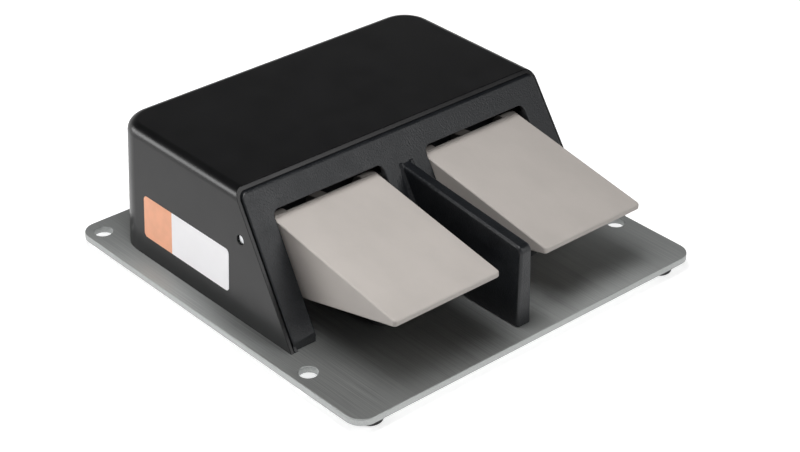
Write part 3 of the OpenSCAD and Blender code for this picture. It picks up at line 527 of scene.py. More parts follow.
class PedalSizes(bpy.types.PropertyGroup):
    width: length("Width", "Width of a pedal", 70.5)
    run: length("Length", "Length of a pedal's top along its slope", 97.3)
    slope: angle("Slope", "Slope of a pedal's top at rest", 9.75)
    thickness: length("Thickness", "Thickness of the top, and height of the front lip", 3.25)
    flange: length("Flange", "Thickness of a side flange", 3)
    flange_slope: angle("Flange slope", "Slope of a flange's lower edge", 14.2)
    tip_corner: length("Tip corners", "Radius of the front corners", 2)
    back_corner: length("Back corners", "Radius of the back corners", 5)
    edge: length("Edge", "Rounding of the pedal's edges", 0.9)
    hinge_back: length("Hinge back", "Hinge axis behind the back edge", 1)
    hinge_drop: length("Hinge drop", "Hinge axis under the back edge", 7)
    boss: length("Boss radius", "Radius of the hinge bosses", 6.8)
    middle: length("Middle", "Middle of the switch to the middle of a pedal", 51.25)
    boss_run: length("Boss length", "Length of the hinge bosses", 10)
    axle_room: length("Axle room", "Radius of the room round the axle between the bosses", 4)
    bush_bore: length("Bush bore", "Radius of the bores for the hinge bushes", 4.07)


class StickerSizes(bpy.types.PropertyGroup):
    run: length("Length", "Length of the sticker", 74.4)
    height: length("Height", "Height of the sticker", 24.8)
    low: length("Lower edge", "Lower edge of the sticker over the plate", 12.6)
    back: length("To the back", "Back edge of the sticker to the back of the hood", 28.8)
    corner: length("Corners", "Radius of the sticker's corners", 2.5)
    field: length("Colour field", "Length of the coloured field at the back end", 25)


class SpringSizes(bpy.types.PropertyGroup):
    wire: length("Wire radius", "Radius of the spring wire", 0.75)
    coil: length("Coil radius", "Radius of a coil to the middle of the wire", 5.8)
    count: IntProperty(name="Coils", description="Number of coils", default=9, min=2)
    keep: FloatProperty(name="Height kept", description="Share of its height that a pressed spring keeps",
                        default=0.88, min=0.1, max=1.0, subtype="FACTOR")


class StageSizes(bpy.types.PropertyGroup):
    floor: length("Floor", "Half the side of the floor", 6000)
    focal: FloatProperty(name="Focal length", description="Camera lens in millimetres", default=94.06)
    distance: length("Distance", "Camera to the middle of the plate", 1147.792)
    azimuth: angle("Azimuth", "Direction of the camera seen from above", -41.52382)
    elevation: angle("Elevation", "Height of the camera over the horizon", 31.11371)
    roll: angle("Roll", "Roll of the camera", 0.29589)


GROUPS = {"plate": PlateSizes, "hood": HoodSizes, "bezel": BezelSizes, "fin": FinSizes, "pedal": PedalSizes,
          "sticker": StickerSizes, "spring": SpringSizes, "stage": StageSizes, "colours": FinishColours}


class SwitchSizes(bpy.types.PropertyGroup):
    plate: PointerProperty(type=PlateSizes)
    hood: PointerProperty(type=HoodSizes)
    bezel: PointerProperty(type=BezelSizes)
    fin: PointerProperty(type=FinSizes)
    pedal: PointerProperty(type=PedalSizes)
    sticker: PointerProperty(type=StickerSizes)
    spring: PointerProperty(type=SpringSizes)
    stage: PointerProperty(type=StageSizes)
    colours: PointerProperty(type=FinishColours)


# Forms shared by the hood and the bezel

def hood_form(sizes, inset, name="hood_form"):
    """The hood as a solid, drawn in by inset, with drafted walls, round back corners and a round top."""
    slip = tan(sizes.draft)
    half = HOOD_HIGH[0] - inset / cos(sizes.draft)
    back = HOOD_HIGH[1] - inset / cos(sizes.draft)
    corner = Vector((HOOD_HIGH[0] - sizes.corner, HOOD_HIGH[1] - sizes.corner, 0))
    top = HOOD_HIGH[2] - inset
    drop = DECK - (OVERRUN if inset else 0)
    rise = top - drop
    half_low = half + (DECK - drop) * slip
    back_low = back + (DECK - drop) * slip
    # In front of the leaning front, which is cut later
    open_end = HOOD_LOW[1] - 40 * MM
    piece = block(name, (-half_low, open_end, drop), (half_low, back_low, top))
    radius = half_low - corner.x
    round_edges(piece, radius, 16, lambda m, d: upright(m, d) and m.y > corner.y, turn=60)
    # The top is drawn in towards the corner centres, so that the corners stay round
    share = (radius - rise * slip) / radius
    bpy.ops.object.mode_set(mode="EDIT")
    bpy.ops.mesh.select_mode(type="VERT")
    for side in (-1, 1):
        for rounded in (True, False):
            bpy.ops.mesh.select_all(action="DESELECT")
            mesh = bmesh.from_edit_mesh(piece.data)
            for vertex in mesh.verts:
                x, y, z = vertex.co
                here = y > corner.y - TOUCHING if rounded else y < corner.y - OVERRUN
                vertex.select_set(z > drop + rise / 2 and x * side > 0 and here)
            mesh.select_flush(True)
            bmesh.update_edit_mesh(piece.data)
            if rounded:
                bpy.ops.transform.resize(
                    value=(share, share, 1), center_override=(side * corner.x, corner.y, top))
            else:
                bpy.ops.transform.translate(value=(-side * rise * slip, 0, 0))
    bpy.ops.object.mode_set(mode="OBJECT")
    edge = max(sizes.top_edge - inset, sizes.wall / 2)
    round_edges(piece, edge, 8, lambda m, d: m.z > top - TOUCHING and m.y > open_end + OVERRUN, turn=60)
    return piece


def in_front(sizes, shift):
    """A cutter of all that lies in front of the leaning front, moved back by shift."""
    low, high = DECK - 5 * OVERRUN, HOOD_HIGH[2] + 5 * OVERRUN
    edge = [(HOOD_LOW[1] + shift + (z - DECK) * tan(sizes.lean), z) for z in (low, high)]
    return prism("front_cut", "X", edge + [(-FAR, high), (-FAR, low)], -FAR, FAR)


# Name, place in metres, power in watts, and width and height in metres of each lamp. The first stands close
# over the pedals, so that its light falls off to the right. The second shows in the bezel, and the third
# lights the left side.
LAMPS = (("top_light", (-0.11, -0.07, 0.42), 1.5, 0.26, 0.26),
         ("front_light", (0.5, -1.25, 0.78), 7.0, 0.7, 0.7),
         ("left_light", (-0.85, 0.95, 0.42), 9.0, 0.8, 0.4))
# The photograph's width and height, and where in it the middle of the plate's top lies, in pixels
PHOTO_SIZE = (800, 452)
PLATE_MIDDLE = (383.6915, 240.5774)
SENSOR = 36


def new_floor(half):
    """A white floor that shows shadows and looks white to the camera and in reflections."""
    thick, glow = 20 * MM, 0.6
    floor = block("floor", (-half, -half, -thick), (half, half, 0))
    made, tree, surface = new_material("matte_white_board", base_color=linear("#f4f4f4"), roughness=0.9,
                                       specular_ior_level=0.0)
    paths = add_node(tree, "ShaderNodeLightPath").outputs
    seen = paths["Is Camera Ray"]
    for kind in ("Is Glossy Ray", "Is Transmission Ray"):
        either = add_node(tree, "ShaderNodeMath", {"operation": "MAXIMUM"}, {0: seen, 1: paths[kind]})
        seen = either.outputs[0]
    shine = add_node(tree, "ShaderNodeMath", {"operation": "MULTIPLY"}, {0: seen, 1: glow})
    surface.inputs["Emission Color"].default_value = linear("#ffffff")
    drive(tree, surface, "Emission Strength", shine.outputs[0])
    floor.data.materials.append(made)


def new_world():
    """A studio: white to the camera, with a white rim for reflections, and dim above it."""
    ambient, upper_reflection = 0.12, 0.03
    rim_low, rim_high = 0.05, 0.4
    world = bpy.data.worlds.new("studio")
    world.use_nodes = True
    tree = world.node_tree
    tree.nodes.clear()
    place = add_node(tree, "ShaderNodeTexCoord")
    height = add_node(tree, "ShaderNodeSeparateXYZ", inputs={
        "Vector": place.outputs["Generated"]}).outputs["Z"]
    paths = add_node(tree, "ShaderNodeLightPath").outputs
    rim = add_node(tree, "ShaderNodeMath", {"operation": "MULTIPLY"}, {
        0: paths["Is Glossy Ray"], 1: vary(tree, height, 1.0, 0.0, rim_low, rim_high)}).outputs[0]
    seen = add_node(tree, "ShaderNodeMath", {"operation": "MAXIMUM"}, {
        0: paths["Is Camera Ray"], 1: paths["Is Transmission Ray"]}).outputs[0]
    white = add_node(tree, "ShaderNodeMath", {"operation": "MAXIMUM"}, {0: seen, 1: rim}).outputs[0]
    dim_level = add_node(tree, "ShaderNodeMath", {"operation": "MULTIPLY_ADD"}, {
        0: paths["Is Glossy Ray"], 1: upper_reflection - ambient, 2: ambient}).outputs[0]
    dim = add_node(tree, "ShaderNodeBackground", inputs={"Color": linear("#ffffff"), "Strength": dim_level})
    bright = add_node(tree, "ShaderNodeBackground", inputs={"Color": linear("#ffffff"), "Strength": 1.0})
    mixed = add_node(tree, "ShaderNodeMixShader", inputs={
        0: white, 1: dim.outputs[0], 2: bright.outputs[0]})
    add_node(tree, "ShaderNodeOutputWorld", inputs={"Surface": mixed.outputs[0]})
    return world


def new_lamp(name, place, power, wide, high):
    """An area lamp that faces the switch."""
    lamp = bpy.data.lights.new(name, "AREA")
    lamp.shape = "RECTANGLE"
    lamp.size, lamp.size_y, lamp.energy = wide, high, power
    stand = bpy.data.objects.new(name, lamp)
    turn = Vector(place).to_track_quat("Z", "Y").to_matrix().to_4x4()
    stand.matrix_world = Matrix.Translation(place) @ turn
    return stand


def new_camera(sizes):
    """The photograph's camera, from its fitted direction, distance and focal length."""
    back = Vector((sin(sizes.azimuth) * cos(sizes.elevation), -cos(sizes.azimuth) * cos(sizes.elevation),
                   sin(sizes.elevation)))
    level = Vector((cos(sizes.azimuth), sin(sizes.azimuth), 0))
    upward = back.cross(level)
    right = cos(sizes.roll) * level + sin(sizes.roll) * upward
    up = cos(sizes.roll) * upward - sin(sizes.roll) * level
    focal_pixels = sizes.focal / SENSOR * PHOTO_SIZE[0]
    place = Vector((0, 0, DECK)) + back * sizes.distance
    place -= right * (PLATE_MIDDLE[0] - PHOTO_SIZE[0] / 2) * sizes.distance / focal_pixels
    place += up * (PLATE_MIDDLE[1] - PHOTO_SIZE[1] / 2) * sizes.distance / focal_pixels
    lens = bpy.data.cameras.new("camera")
    lens.lens = sizes.focal
    lens.sensor_width = SENSOR
    lens.clip_end = 50
    camera = bpy.data.objects.new("camera", lens)
    camera.matrix_world = Matrix.Translation(place) @ Matrix((right, up, back)).transposed().to_4x4()
    return camera


class FOOTSWITCH_OT_stage(bpy.types.Operator):
    """Floor, lights, world and camera"""
    bl_idname = "footswitch.stage"
    bl_label = "Stage"

    def execute(self, context):
        sizes = context.scene.footswitch.stage
        new_floor(sizes.floor)
        context.scene.world = new_world()
        for lamp in LAMPS:
            context.scene.collection.objects.link(new_lamp(*lamp))
        camera = new_camera(sizes)
        context.scene.collection.objects.link(camera)
        context.scene.camera = camera
        context.scene.view_settings.view_transform = "Standard"
        return {"FINISHED"}


class FOOTSWITCH_OT_plate(bpy.types.Operator):
    """Base plate with its mounting holes, and the rubber feet"""
    bl_idname = "footswitch.plate"
    bl_label = "Plate and feet"

    def execute(self, context):
        sizes = context.scene.footswitch.plate
        below, above = PLATE_LOW[2] - OVERRUN, PLATE_HIGH[2] + OVERRUN
        plate = block("plate", PLATE_LOW, PLATE_HIGH)
        round_edges(plate, sizes.corner, 12, upright)
        for x in (PLATE_LOW[0] + sizes.hole_side, PLATE_HIGH[0] - sizes.hole_side):
            for y in (PLATE_LOW[1] + sizes.hole_front, PLATE_HIGH[1] - sizes.hole_back):
                carve(plate, rod("hole", "Z", (x, y), below, above, sizes.hole))
        # Countersinks for the screws that come up through the plate
        for x, y in screw_places("cover_screws", "bezel_screws"):
            carve(plate, rod("sink", "Z", (x, y), below, above, SCREW_HOLE, sides=24))
            carve(plate, rod("sink", "Z", (x, y), PLATE_LOW[2], PLATE_LOW[2] + SCREW_HEAD - SCREW_HOLE,
                             SCREW_HEAD, SCREW_HOLE, sides=24))
        for node in ("bracket_screws", "block_screws", "ground_screw", "spring_seats", "down_stops"):
            for x, y, radius in low_rounds(node):
                carve(plate, rod("stud_hole", "Z", (x, y), below, above, radius + SUNK))
        cleaned(plate)
        # The outer edges and the rims of the mounting holes, which all lie near the sides
        border = 16 * MM
        round_edges(plate, sizes.edge, 3, lambda m, d: abs(d.z) < 0.1 and min(
            PLATE_HIGH[0] - abs(m.x), PLATE_HIGH[1] - abs(m.y)) < border and not under_screw(m))
        finished(plate, "base", "brushed_steel_plate", "base_plate")

        low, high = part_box("rubber_feet")
        feet = None
        for x in (low[0] + sizes.foot, high[0] - sizes.foot):
            for y in (low[1] + sizes.foot, high[1] - sizes.foot):
                foot = rod("foot", "Z", (x, y), low[2], high[2], sizes.foot - sizes.foot_taper, sizes.foot)
                round_edges(foot, sizes.foot_edge, 3, lambda m, d: m.z < low[2] + TOUCHING)
                # A shallow round recess in the sole, as moulded feet have
                sole = low[2] + sizes.foot_recess
                carve(foot, rod("sole", "Z", (x, y), low[2] - OVERRUN, sole, sizes.foot / 2))
                feet = carve(feet, foot, "UNION") if feet else foot
        feet.name = feet.data.name = "feet"
        finished(feet, "base", "black_rubber", "rubber_feet")
        return {"FINISHED"}


def low_rounds(node):
    """Place and radius of each round end that a node has at its lowest level."""
    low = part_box(node)[0][2]
    apart = 10 * MM
    rounds = {}
    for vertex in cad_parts[node].data.vertices:
        if vertex.co.z < low + TOUCHING:
            place = vertex.co.xy
            key = next((k for k in rounds if (Vector(k) - place).length < apart), tuple(place))
            rounds.setdefault(key, []).append(place)
    found = []
    for points in rounds.values():
        xs, ys = [p.x for p in points], [p.y for p in points]
        found.append(((min(xs) + max(xs)) / 2, (min(ys) + max(ys)) / 2, (max(xs) - min(xs)) / 2))
    return found


def screw_places(*nodes):
    """Place of each screw that comes up through the plate."""
    return [place[:2] for node in nodes for place in low_rounds(node)]


def under_screw(point):
    """Tells whether a point belongs to the countersink of a screw."""
    reach = SCREW_HEAD + OVERRUN
    places = screw_places("cover_screws", "bezel_screws")
    return any((point.xy - Vector(place)).length < reach for place in places)


def axle_place():
    """Y and Z of the hinge axle's middle."""
    low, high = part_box("hinge_axle")
    return (low.y + high.y) / 2, (low.z + high.z) / 2


def upright(middle, direction):
    """Picks edges that stand."""
    return abs(direction.z) > 0.9


class FOOTSWITCH_OT_hood(bpy.types.Operator):
    """Black hood over the hinge and the switches"""
    bl_idname = "footswitch.hood"
    bl_label = "Hood"

    def execute(self, context):
        sizes = context.scene.footswitch.hood
        hood = hood_form(sizes, 0, "hood")
        carve(hood, hood_form(sizes, sizes.wall))
        carve(hood, in_front(sizes, 0))
        # Deeper than the wall and its round corners, so that each cut goes through one wall
        through = 20 * MM
        for start in (-HOOD_HIGH[0], HOOD_HIGH[0] - through):
            end = start + through
            carve(hood, rod("axle_window", "X", axle_place(), start, end, sizes.axle_window, sides=32))
        low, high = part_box("gland_body")
        place = ((low.x + high.x) / 2, (low.z + high.z) / 2)
        start, end = HOOD_HIGH[1] - through, HOOD_HIGH[1] + OVERRUN
        carve(hood, rod("gland_hole", "Y", place, start, end, sizes.gland_hole))
        post_top = DECK + sizes.post_height
        for x, y in screw_places("cover_screws"):
            side = 1 if x > 0 else -1
            wall = side * (HOOD_HIGH[0] - sizes.wall / 2 - sizes.post_height * tan(sizes.draft))
            near, far = sorted((x, wall))
            web = block("web", (near, y - sizes.web / 2, DECK + SUNK),
                        (far, y + sizes.web / 2, post_top - SUNK))
            carve(web, hood_form(sizes, sizes.wall / 2), "INTERSECT")
            carve(hood, web, "UNION")
            carve(hood, rod("post", "Z", (x, y), DECK + SUNK, post_top, POST, sides=32), "UNION")
        cleaned(hood)
        lean = Vector((0, cos(sizes.lean), -sin(sizes.lean)))
        edge = Vector((0, HOOD_LOW[1], DECK))
        round_edges(hood, sizes.front_edge, 2, lambda m, d: (
            abs((m - edge).dot(lean)) < TOUCHING and m.z > DECK + OVERRUN))
        finished(hood, "base", "satin_black_hood", "cover_shell")
        return {"FINISHED"}


def dressed(node, slot, width):
    """Puts a copy of a CAD node, merged and with its sharp edges broken, in the node's place on the base."""
    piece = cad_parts[node].copy()
    piece.data = piece.data.copy()
    piece.parent = None
    for key in list(piece.keys()):
        del piece[key]
    bpy.context.scene.collection.objects.link(piece)
    piece.name = piece.data.name = node + "_dressed"
    piece.hide_render = piece.hide_viewport = False
    round_edges(cleaned(piece), width, 2, turn=30)
    return finished(piece, "base", slot, node)


class FOOTSWITCH_OT_bezel(bpy.types.Operator):
    """Grained bezel with its windows, the divider fin, the hinge lugs and the rest bar"""
    bl_idname = "footswitch.bezel"
    bl_label = "Bezel and fin"

    def execute(self, context):
        hood = context.scene.footswitch.hood
        sizes = context.scene.footswitch.bezel
        slope = tan(hood.lean)
        face = bezel_face(hood, sizes)
        back = face + sizes.panel / cos(hood.lean)
        foot = HOOD_LOW[1] + sizes.proud + sizes.gap
        top = HOOD_HIGH[2] - DECK
        inset = hood.wall + sizes.gap
        # The panel from the side: an upright foot on the plate, and two leaning faces above it
        side = [(foot, 0), (foot, (foot - face) / slope), (face + top * slope, top),
                (back + top * slope, top), (foot + sizes.panel, (foot + sizes.panel - back) / slope),
                (foot + sizes.panel, 0)]
        bezel = prism("bezel", "X", [(y, z + DECK) for y, z in side], -HOOD_HIGH[0], HOOD_HIGH[0])
        carve(bezel, hood_form(hood, inset), "INTERSECT")
        for mirrored in (1, -1):
            carve(bezel, window(sizes, hood.draft, mirrored))
        cleaned(bezel)
        lean = Vector((0, cos(hood.lean), -sin(hood.lean)))
        front = Vector((0, face, DECK))
        above_foot = DECK + 4 * MM
        round_edges(bezel, sizes.edge, 3, lambda m, d: (
            abs((m - front).dot(lean)) < TOUCHING * 5 and m.z > above_foot))

        ring = hood_form(hood, inset)
        carve(ring, hood_form(hood, inset + sizes.rim))
        carve(ring, block("floor_cut", (-FAR, -FAR, -FAR), (FAR, FAR, DECK)))
        carve(ring, in_front(hood, 0))
        carve(ring, in_front(hood, sizes.rim_depth / cos(hood.lean)), "INTERSECT")
        carve(bezel, ring, "UNION")

        carve(bezel, divider_fin(context), "UNION")
        for mirrored in (1, -1):
            carve(bezel, fin_fillet(context, mirrored), "UNION")
        for part in bezel_inside(context, back, slope):
            carve(bezel, part, "UNION")
        low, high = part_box("hinge_axle")
        bore = (high.z - low.z) / 2 + sizes.play
        carve(bezel, rod("axle_bore", "X", axle_place(), -HOOD_HIGH[0], HOOD_HIGH[0], bore))
        cleaned(bezel)
        finished(bezel, "base", "grained_black_bezel", "front_bezel")
        return {"FINISHED"}


def bezel_face(hood, sizes):
    """Y of the bezel's face where it would meet the plate."""
    return HOOD_LOW[1] - sizes.proud / cos(hood.lean)


def window(sizes, draft, mirrored):
    """One window's cutter. Its outer side follows the hood's draft."""
    r = sizes.window_corner
    foot_out = sizes.window_out + (sizes.window_top + OVERRUN) * tan(draft)
    outline = [(sizes.window_in, -OVERRUN), (foot_out, -OVERRUN)]
    outline += arc((sizes.window_out - r, sizes.window_top - r), r, 0, 90, 6)
    outline += arc((sizes.window_in + r, sizes.window_top - r), r, 90, 180, 6)
    outline = [(mirrored * x, z + DECK) for x, z in outline]
    return prism("window", "Y", outline, HOOD_LOW[1] - 10 * OVERRUN, HOOD_HIGH[1])


def divider_fin(context):
    """The fin between the pedals: upright nose, falling top edge, hollow against the bezel, rounded edges."""
    hood, bezel, sizes = (getattr(context.scene.footswitch, name) for name in ("hood", "bezel", "fin"))
    slope = tan(hood.lean)
    face = bezel_face(hood, bezel)
    nose = HOOD_LOW[1] - sizes.reach
    root = face + sizes.root * slope
    nose_top = sizes.root - (root - nose) * tan(sizes.slope)
    drop = sizes.nose * tan((pi / 2 - sizes.slope) / 2)
    run = sizes.hollow / tan((pi - hood.lean + sizes.slope) / 2)
    hollow = (root - run * cos(sizes.slope) - sizes.hollow * sin(sizes.slope),
              sizes.root - run * sin(sizes.slope) + sizes.hollow * cos(sizes.slope))
    fall = sizes.slope * 180 / pi
    outline = [(nose, SUNK)] + arc((nose + sizes.nose, nose_top - drop), sizes.nose, 180, 90 + fall, 10)
    outline += arc(hollow, sizes.hollow, fall - 90, -hood.lean * 180 / pi, 8)
    # Its back runs inside the bezel's panel, and under the heel inside its foot
    inside, heel = face + 1.8 * MM, 6 * MM
    outline += [(inside + sizes.root * slope, sizes.root), (inside + heel * slope, heel),
                (HOOD_LOW[1] + bezel.proud + bezel.gap + bezel.panel / 2, SUNK)]
    half = sizes.thickness / 2
    fin = prism("fin", "X", [(y, z + DECK) for y, z in outline], -half, half)
    for vertex in fin.data.vertices:
        low = max(0, bezel.window_top - (vertex.co.z - DECK))
        vertex.co.x *= 1 + low * tan(sizes.draft) / half
    # Only the edges that show in front of the bezel
    shown = face + 0.3 * MM
    return round_edges(fin, sizes.edge, 4, lambda m, d: (
        abs(d.x) < 0.5 and m.z > DECK + TOUCHING and m.y < shown + (m.z - DECK) * slope), turn=60)


def fin_fillet(context, mirrored):
    """The hollow fillet between one side of the fin and the bezel's face."""
    hood, bezel, sizes = (getattr(context.scene.footswitch, name) for name in ("hood", "bezel", "fin"))
    face = bezel_face(hood, bezel)
    half, r = sizes.thickness / 2, sizes.root_fillet
    # It starts over the bezel's foot, and reaches a little into the fin and the bezel
    start, deep = 8 * MM, 1 * MM
    outline = [(half - deep, face + deep), (half + r, face + deep)]
    outline += arc((half + r, face - r), r, 90, 180, 8) + [(half - deep, face - r)]
    outline = [(mirrored * x, y) for x, y in outline]
    piece = prism("fin_fillet", "Z", outline, DECK + start, DECK + sizes.root + deep)
    for vertex in piece.data.vertices:
        height = vertex.co.z - DECK
        vertex.co.x += mirrored * (bezel.window_top - height) * tan(sizes.draft)
        # The fillet runs out towards its upper end
        if height > sizes.root:
            vertex.co.x = mirrored * min(abs(vertex.co.x), half + deep)
            vertex.co.y = max(vertex.co.y, face - deep)
        vertex.co.y += height * tan(hood.lean)
    return piece


def bezel_inside(context, back, slope):
    """What the bezel carries inside the hood: hinge lugs, the rest bar, the screw posts, and curtains with
    ledges, which are dark sheets behind the pedals' back gaps as painted shade.
    """
    made = []
    y, z = axle_place()
    pads_low, pads_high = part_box("rest_pads")
    bar_low, bar_high = pads_low.z - 8 * MM, pads_low.z
    # How far everything reaches into the panel
    inside = 1.5 * MM
    # Thickness and radius of a hinge lug, and where the two lugs at a pedal's sides start
    lug, lug_r, lug_starts = 4 * MM, 7.5 * MM, (11 * MM, 88.25 * MM)
    rib = [(back + (h - DECK) * slope - inside, h) for h in (z + lug_r, z - 2 * lug_r)]
    arm = [(pads_high.y, bar_high), (pads_high.y, bar_low), (y, bar_low), (y, z - lug_r)]
    for start in lug_starts:
        for side in (1, -1):
            low, high = sorted((side * start, side * (start + lug - SUNK)))
            outline = [rib[0]] + arc((y, z), lug_r, 90, -48, 10) + arm + [rib[1]]
            made.append(prism("lug", "X", outline, low, high))
    # A curtain behind the gap between a window's head and its pedal, with a slot for the push arm. It is
    # painted shade: a dark sheet put behind the gap so that the gap shows black.
    head = DECK + context.scene.footswitch.bezel.window_top
    near, far = y + 8.2 * MM, y + 9.7 * MM
    ends, slot = (14.9 * MM, 88.3 * MM), (46.2 * MM, 56.3 * MM)
    slot_low, slot_high = z - 0.5 * MM, z + 7 * MM
    for low, high, start, stop in ((*ends, slot_high, head + 3 * MM),
                                   (ends[0], slot[0], slot_low, slot_high + OVERRUN),
                                   (slot[1], ends[1], slot_low, slot_high + OVERRUN)):
        for side in (1, -1):
            left, right = sorted((side * low, side * high))
            made.append(block("shade_curtain", (left, near, start), (right, far, stop)))
    # A ledge from the panel to the curtain's upper edge, part of the same painted shade over the gap
    ledge_front = back + (head - DECK) * slope - inside
    ledge_low, ledge_high = head + 1.5 * MM, head + 3.1 * MM
    for side in (1, -1):
        left, right = sorted((side * ends[0], side * ends[1]))
        made.append(block("ledge", (left, ledge_front, ledge_low), (right, far - SUNK, ledge_high)))
    end = lug_starts[1] + lug - 2 * SUNK
    made.append(block("rest_bar", (-end, pads_low.y, bar_low + SUNK),
                      (end, pads_high.y - SUNK, bar_high - SUNK)))
    # The screw in the middle goes up into the fin
    for x, y in screw_places("bezel_screws"):
        if abs(x) > lug:
            made.append(rod("post", "Z", (x, y), DECK + SUNK, DECK + 12 * MM, POST, sides=32))
    return made


class FOOTSWITCH_OT_pedals(bpy.types.Operator):
    """Two warm grey pedals"""
    bl_idname = "footswitch.pedals"
    bl_label = "Pedals"

    def execute(self, context):
        sizes = context.scene.footswitch.pedal
        for name, side in (("left_pedal", -1), ("right_pedal", 1)):
            piece = pedal_form(sizes, name)
            only(piece)
            bpy.ops.object.mode_set(mode="EDIT")
            bpy.ops.mesh.select_all(action="SELECT")
            bpy.ops.transform.translate(value=(side * sizes.middle, 0, 0))
            bpy.ops.object.mode_set(mode="OBJECT")
            finished(piece, name + "_assembly", "warm_grey_pedal", name)
        return {"FINISHED"}


def pedal_form(sizes, node):
    """One pedal about X = 0: sloping top, side flanges, hinge bosses, arm, stop rib and spring perch."""
    hinge = Vector((0, *axle_place()))
    half = sizes.width / 2
    back = (hinge.y - sizes.hinge_back, hinge.z + sizes.hinge_drop)
    tip = (back[0] - sizes.run * cos(sizes.slope), back[1] - sizes.run * sin(sizes.slope))

    def top(y):
        return back[1] - (back[0] - y) * tan(sizes.slope)

    def low(y):
        return tip[1] - sizes.thickness - (y - tip[0]) * tan(sizes.flange_slope)

    heel = hinge.y - sizes.boss + sizes.hinge_back
    side = [tip, (tip[0], low(tip[0])), (heel, low(heel)), (hinge.y + sizes.boss, hinge.z),
            (hinge.y, hinge.z), back]
    piece = prism(node + "_form", "X", side, -half, half)
    round_edges(piece, sizes.tip_corner, 6, lambda m, d: upright(m, d) and m.y < tip[0] + TOUCHING, turn=60)
    round_edges(piece, sizes.edge, 3, turn=25)
    # All under the top and between the flanges goes, also behind the hinge
    front, rear = tip[0] - OVERRUN, back[0] + 40 * MM
    hollow = [(front, top(front) - sizes.thickness), (back[0], back[1] - sizes.thickness),
              (back[0], back[1] + OVERRUN), (rear, back[1] + OVERRUN), (rear, 0), (front, 0)]
    carve(piece, prism("hollow", "X", hollow, -half + sizes.flange, half - sizes.flange))
    for start in (-half, half - sizes.boss_run):
        boss = rod("boss", "X", hinge.yz, start + SUNK, start + sizes.boss_run - SUNK, sizes.boss)
        carve(piece, boss, "UNION")
    for part in (push_arm(sizes, hinge, top), stop_rib(sizes, hinge, top), *spring_perch(sizes, hinge, top)):
        carve(piece, part, "UNION")
    carve(piece, rod("axle_room", "X", hinge.yz, -half - OVERRUN, half + OVERRUN, sizes.axle_room))
    for start in (-half, half - sizes.boss_run):
        end = start + sizes.boss_run + OVERRUN
        carve(piece, rod("bush_bore", "X", hinge.yz, start - OVERRUN, end, sizes.bush_bore))
    piece.name = piece.data.name = node + "_dressed"
    return cleaned(piece)


def push_arm(sizes, hinge, top):
    """The arm that pushes the switch, with a tail behind the hinge that rests under the bar."""
    skin = sizes.thickness / 2
    low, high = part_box("left_switch_plunger")
    plunger_z = (low.z + high.z) / 2
    toe_low, toe_high = plunger_z - 3 * MM, plunger_z + 13 * MM
    front, reach, tail = hinge.y - 15 * MM, 6 * MM, 17 * MM
    tail_low, tail_high, step = hinge.z - 3.3 * MM, hinge.z + 2.2 * MM, 1.5 * MM
    outline = [(front, top(front) - skin), (hinge.y - sizes.hinge_back, hinge.z + sizes.hinge_drop - skin),
               (hinge.y + tail, tail_high), (hinge.y + tail, tail_low),
               (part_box("rest_pads")[0][1] - step, tail_low), (hinge.y + reach, tail_low - step),
               (hinge.y + reach, toe_low), (hinge.y - reach, toe_low), (front, toe_high)]
    half, edge = 4 * MM, 0.6 * MM
    return round_edges(prism("arm", "X", outline, -half, half), edge, 2, turn=40)


def stop_rib(sizes, hinge, top):
    """The rib that lands on the rubber stop when the pedal is down."""
    skin = sizes.thickness / 2
    low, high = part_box("down_stops")
    middle = (low.y + high.y) / 2
    half, gap, press = 2 * MM, 0.3 * MM, radians(8)
    rib_low = hinge.z + (high.z + gap - hinge.z + (hinge.y - middle + half) * sin(press)) / cos(press)
    outline = [(middle - half, rib_low), (middle + half, rib_low),
               (middle + half, top(middle + half) - skin), (middle - half, top(middle - half) - skin)]
    end = (sizes.width - sizes.flange) / 2
    return prism("rib", "X", outline, -end, end)


def spring_perch(sizes, hinge, top):
    """The round perch over the spring, and the spigot that keeps the spring in its place."""
    low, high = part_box("left_return_spring")
    place = (0, (low.y + high.y) / 2)
    bottom, radius = hinge.z - 3 * MM, 7.55 * MM
    spigot_run, spigot_radius, spigot_edge = 5 * MM, 3.3 * MM, 0.8 * MM
    perch = rod("perch", "Z", place, bottom, top(place[1]) - sizes.thickness / 2, radius)
    spigot = rod("spigot", "Z", place, bottom - spigot_run, bottom + OVERRUN, spigot_radius)
    round_edges(spigot, spigot_edge, 2, lambda m, d: m.z < bottom)
    return perch, spigot


